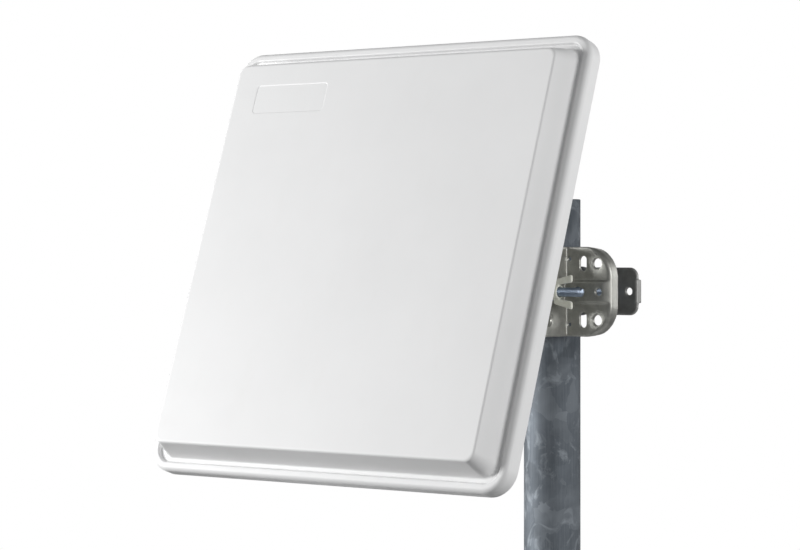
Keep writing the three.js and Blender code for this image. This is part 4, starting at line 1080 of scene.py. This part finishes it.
def stage():
    """A plain, pale round floor at the mast's foot."""
    radius, thickness, steps_per_quarter = 340, 6, 31
    rings = [
        square_ring(radius - inset, radius - inset, radius - inset, y, steps_per_quarter)
        for inset, y in ((0.8, -0.2), (0.2, -0.8), (0, -2), (0, -thickness))
    ]
    faces = [list(face) for face in band_quads(len(rings), len(rings[0]))]
    faces.append(list(range(len(rings[0])))[::-1])
    upright = Matrix.Rotation(math.pi / 2, 4, "X")
    mesh = make_mesh("floor", moved((np.concatenate(rings), faces), upright))
    floor = bpy.data.objects.new("floor", mesh)
    bpy.context.scene.collection.objects.link(floor)
    look = Look("pale_floor")
    look.set(Roughness=0.9, Specular_IOR_Level=0.1, Base_Color=(0.8, 0.8, 0.8, 1))
    mesh.materials.append(look.material)


def area_light(name, position, size, power):
    """A soft round light aimed at the middle of the antenna, hidden from the camera."""
    target = Vector((0, -0.25, 0.32))
    data = bpy.data.lights.new(name, "AREA")
    data.shape = "DISK"
    data.size = size
    data.energy = power
    made = bpy.data.objects.new(name, data)
    bpy.context.scene.collection.objects.link(made)
    made.visible_camera = False
    made.location = position
    made.rotation_euler = (target - Vector(position)).to_track_quat("-Z", "Y").to_euler()


def surround():
    """A pale world, brightest just above the horizon, that the camera sees as plain white."""
    brightest_height, dimmest_offset = 0.15, 0.8
    brightest, dimmest = 0.36, 0.07
    world = bpy.data.worlds.new("studio")
    bpy.context.scene.world = world
    world.use_nodes = True
    tree = world.node_tree

    def node(kind, **settings):
        made = tree.nodes.new(f"ShaderNode{kind}")
        for name, value in settings.items():
            setattr(made, name, value)
        return made

    light = tree.nodes["Background"]
    light.inputs["Color"].default_value = (0.98, 0.99, 1, 1)
    direction, split = node("TexCoord"), node("SeparateXYZ")
    raised, offset = node("Math", operation="SUBTRACT"), node("Math", operation="ABSOLUTE")
    raised.inputs[1].default_value = brightest_height
    level = node("MapRange", interpolation_type="SMOOTHSTEP")
    limits = {"From Min": 0, "From Max": dimmest_offset, "To Min": brightest, "To Max": dimmest}
    for name, value in limits.items():
        level.inputs[name].default_value = value
    backdrop = node("Background")
    backdrop.inputs["Color"].default_value = (1, 1, 1, 1)
    rays, mix = node("LightPath"), node("MixShader")
    for source, target in (
        (direction.outputs["Generated"], split.inputs[0]),
        (split.outputs["Z"], raised.inputs[0]),
        (raised.outputs[0], offset.inputs[0]),
        (offset.outputs[0], level.inputs["Value"]),
        (level.outputs["Result"], light.inputs["Strength"]),
        (rays.outputs["Is Camera Ray"], mix.inputs[0]),
        (light.outputs[0], mix.inputs[1]),
        (backdrop.outputs[0], mix.inputs[2]),
        (mix.outputs[0], tree.nodes["World Output"].inputs["Surface"]),
    ):
        tree.links.new(source, target)


def lights():
    surround()
    area_light("key", (-2.2, -1.75, 0.5), 1.0, 84)
    area_light("side", (1.9, -0.5, 0.75), 1.2, 18)
    area_light("back_right", (1.4, 1.5, 0.7), 1.2, 9)
    area_light("back_left", (-1.2, 1.6, 1.0), 1.2, 4)


def camera():
    """A long lens level with the middle of the antenna, from its right and in front."""
    data = bpy.data.cameras.new("camera")
    data.lens = 119.8
    data.sensor_width = 36
    data.shift_y = -0.02875
    data.clip_end = 200
    made = bpy.data.objects.new("camera", data)
    bpy.context.scene.collection.objects.link(made)
    made.location = (1.3916, -1.9057, 0.3545)
    made.rotation_euler = (math.pi / 2, 0, math.radians(39.41))
    bpy.context.scene.camera = made


stage()
lights()
camera()
bpy.context.scene.view_settings.view_transform = "Standard"
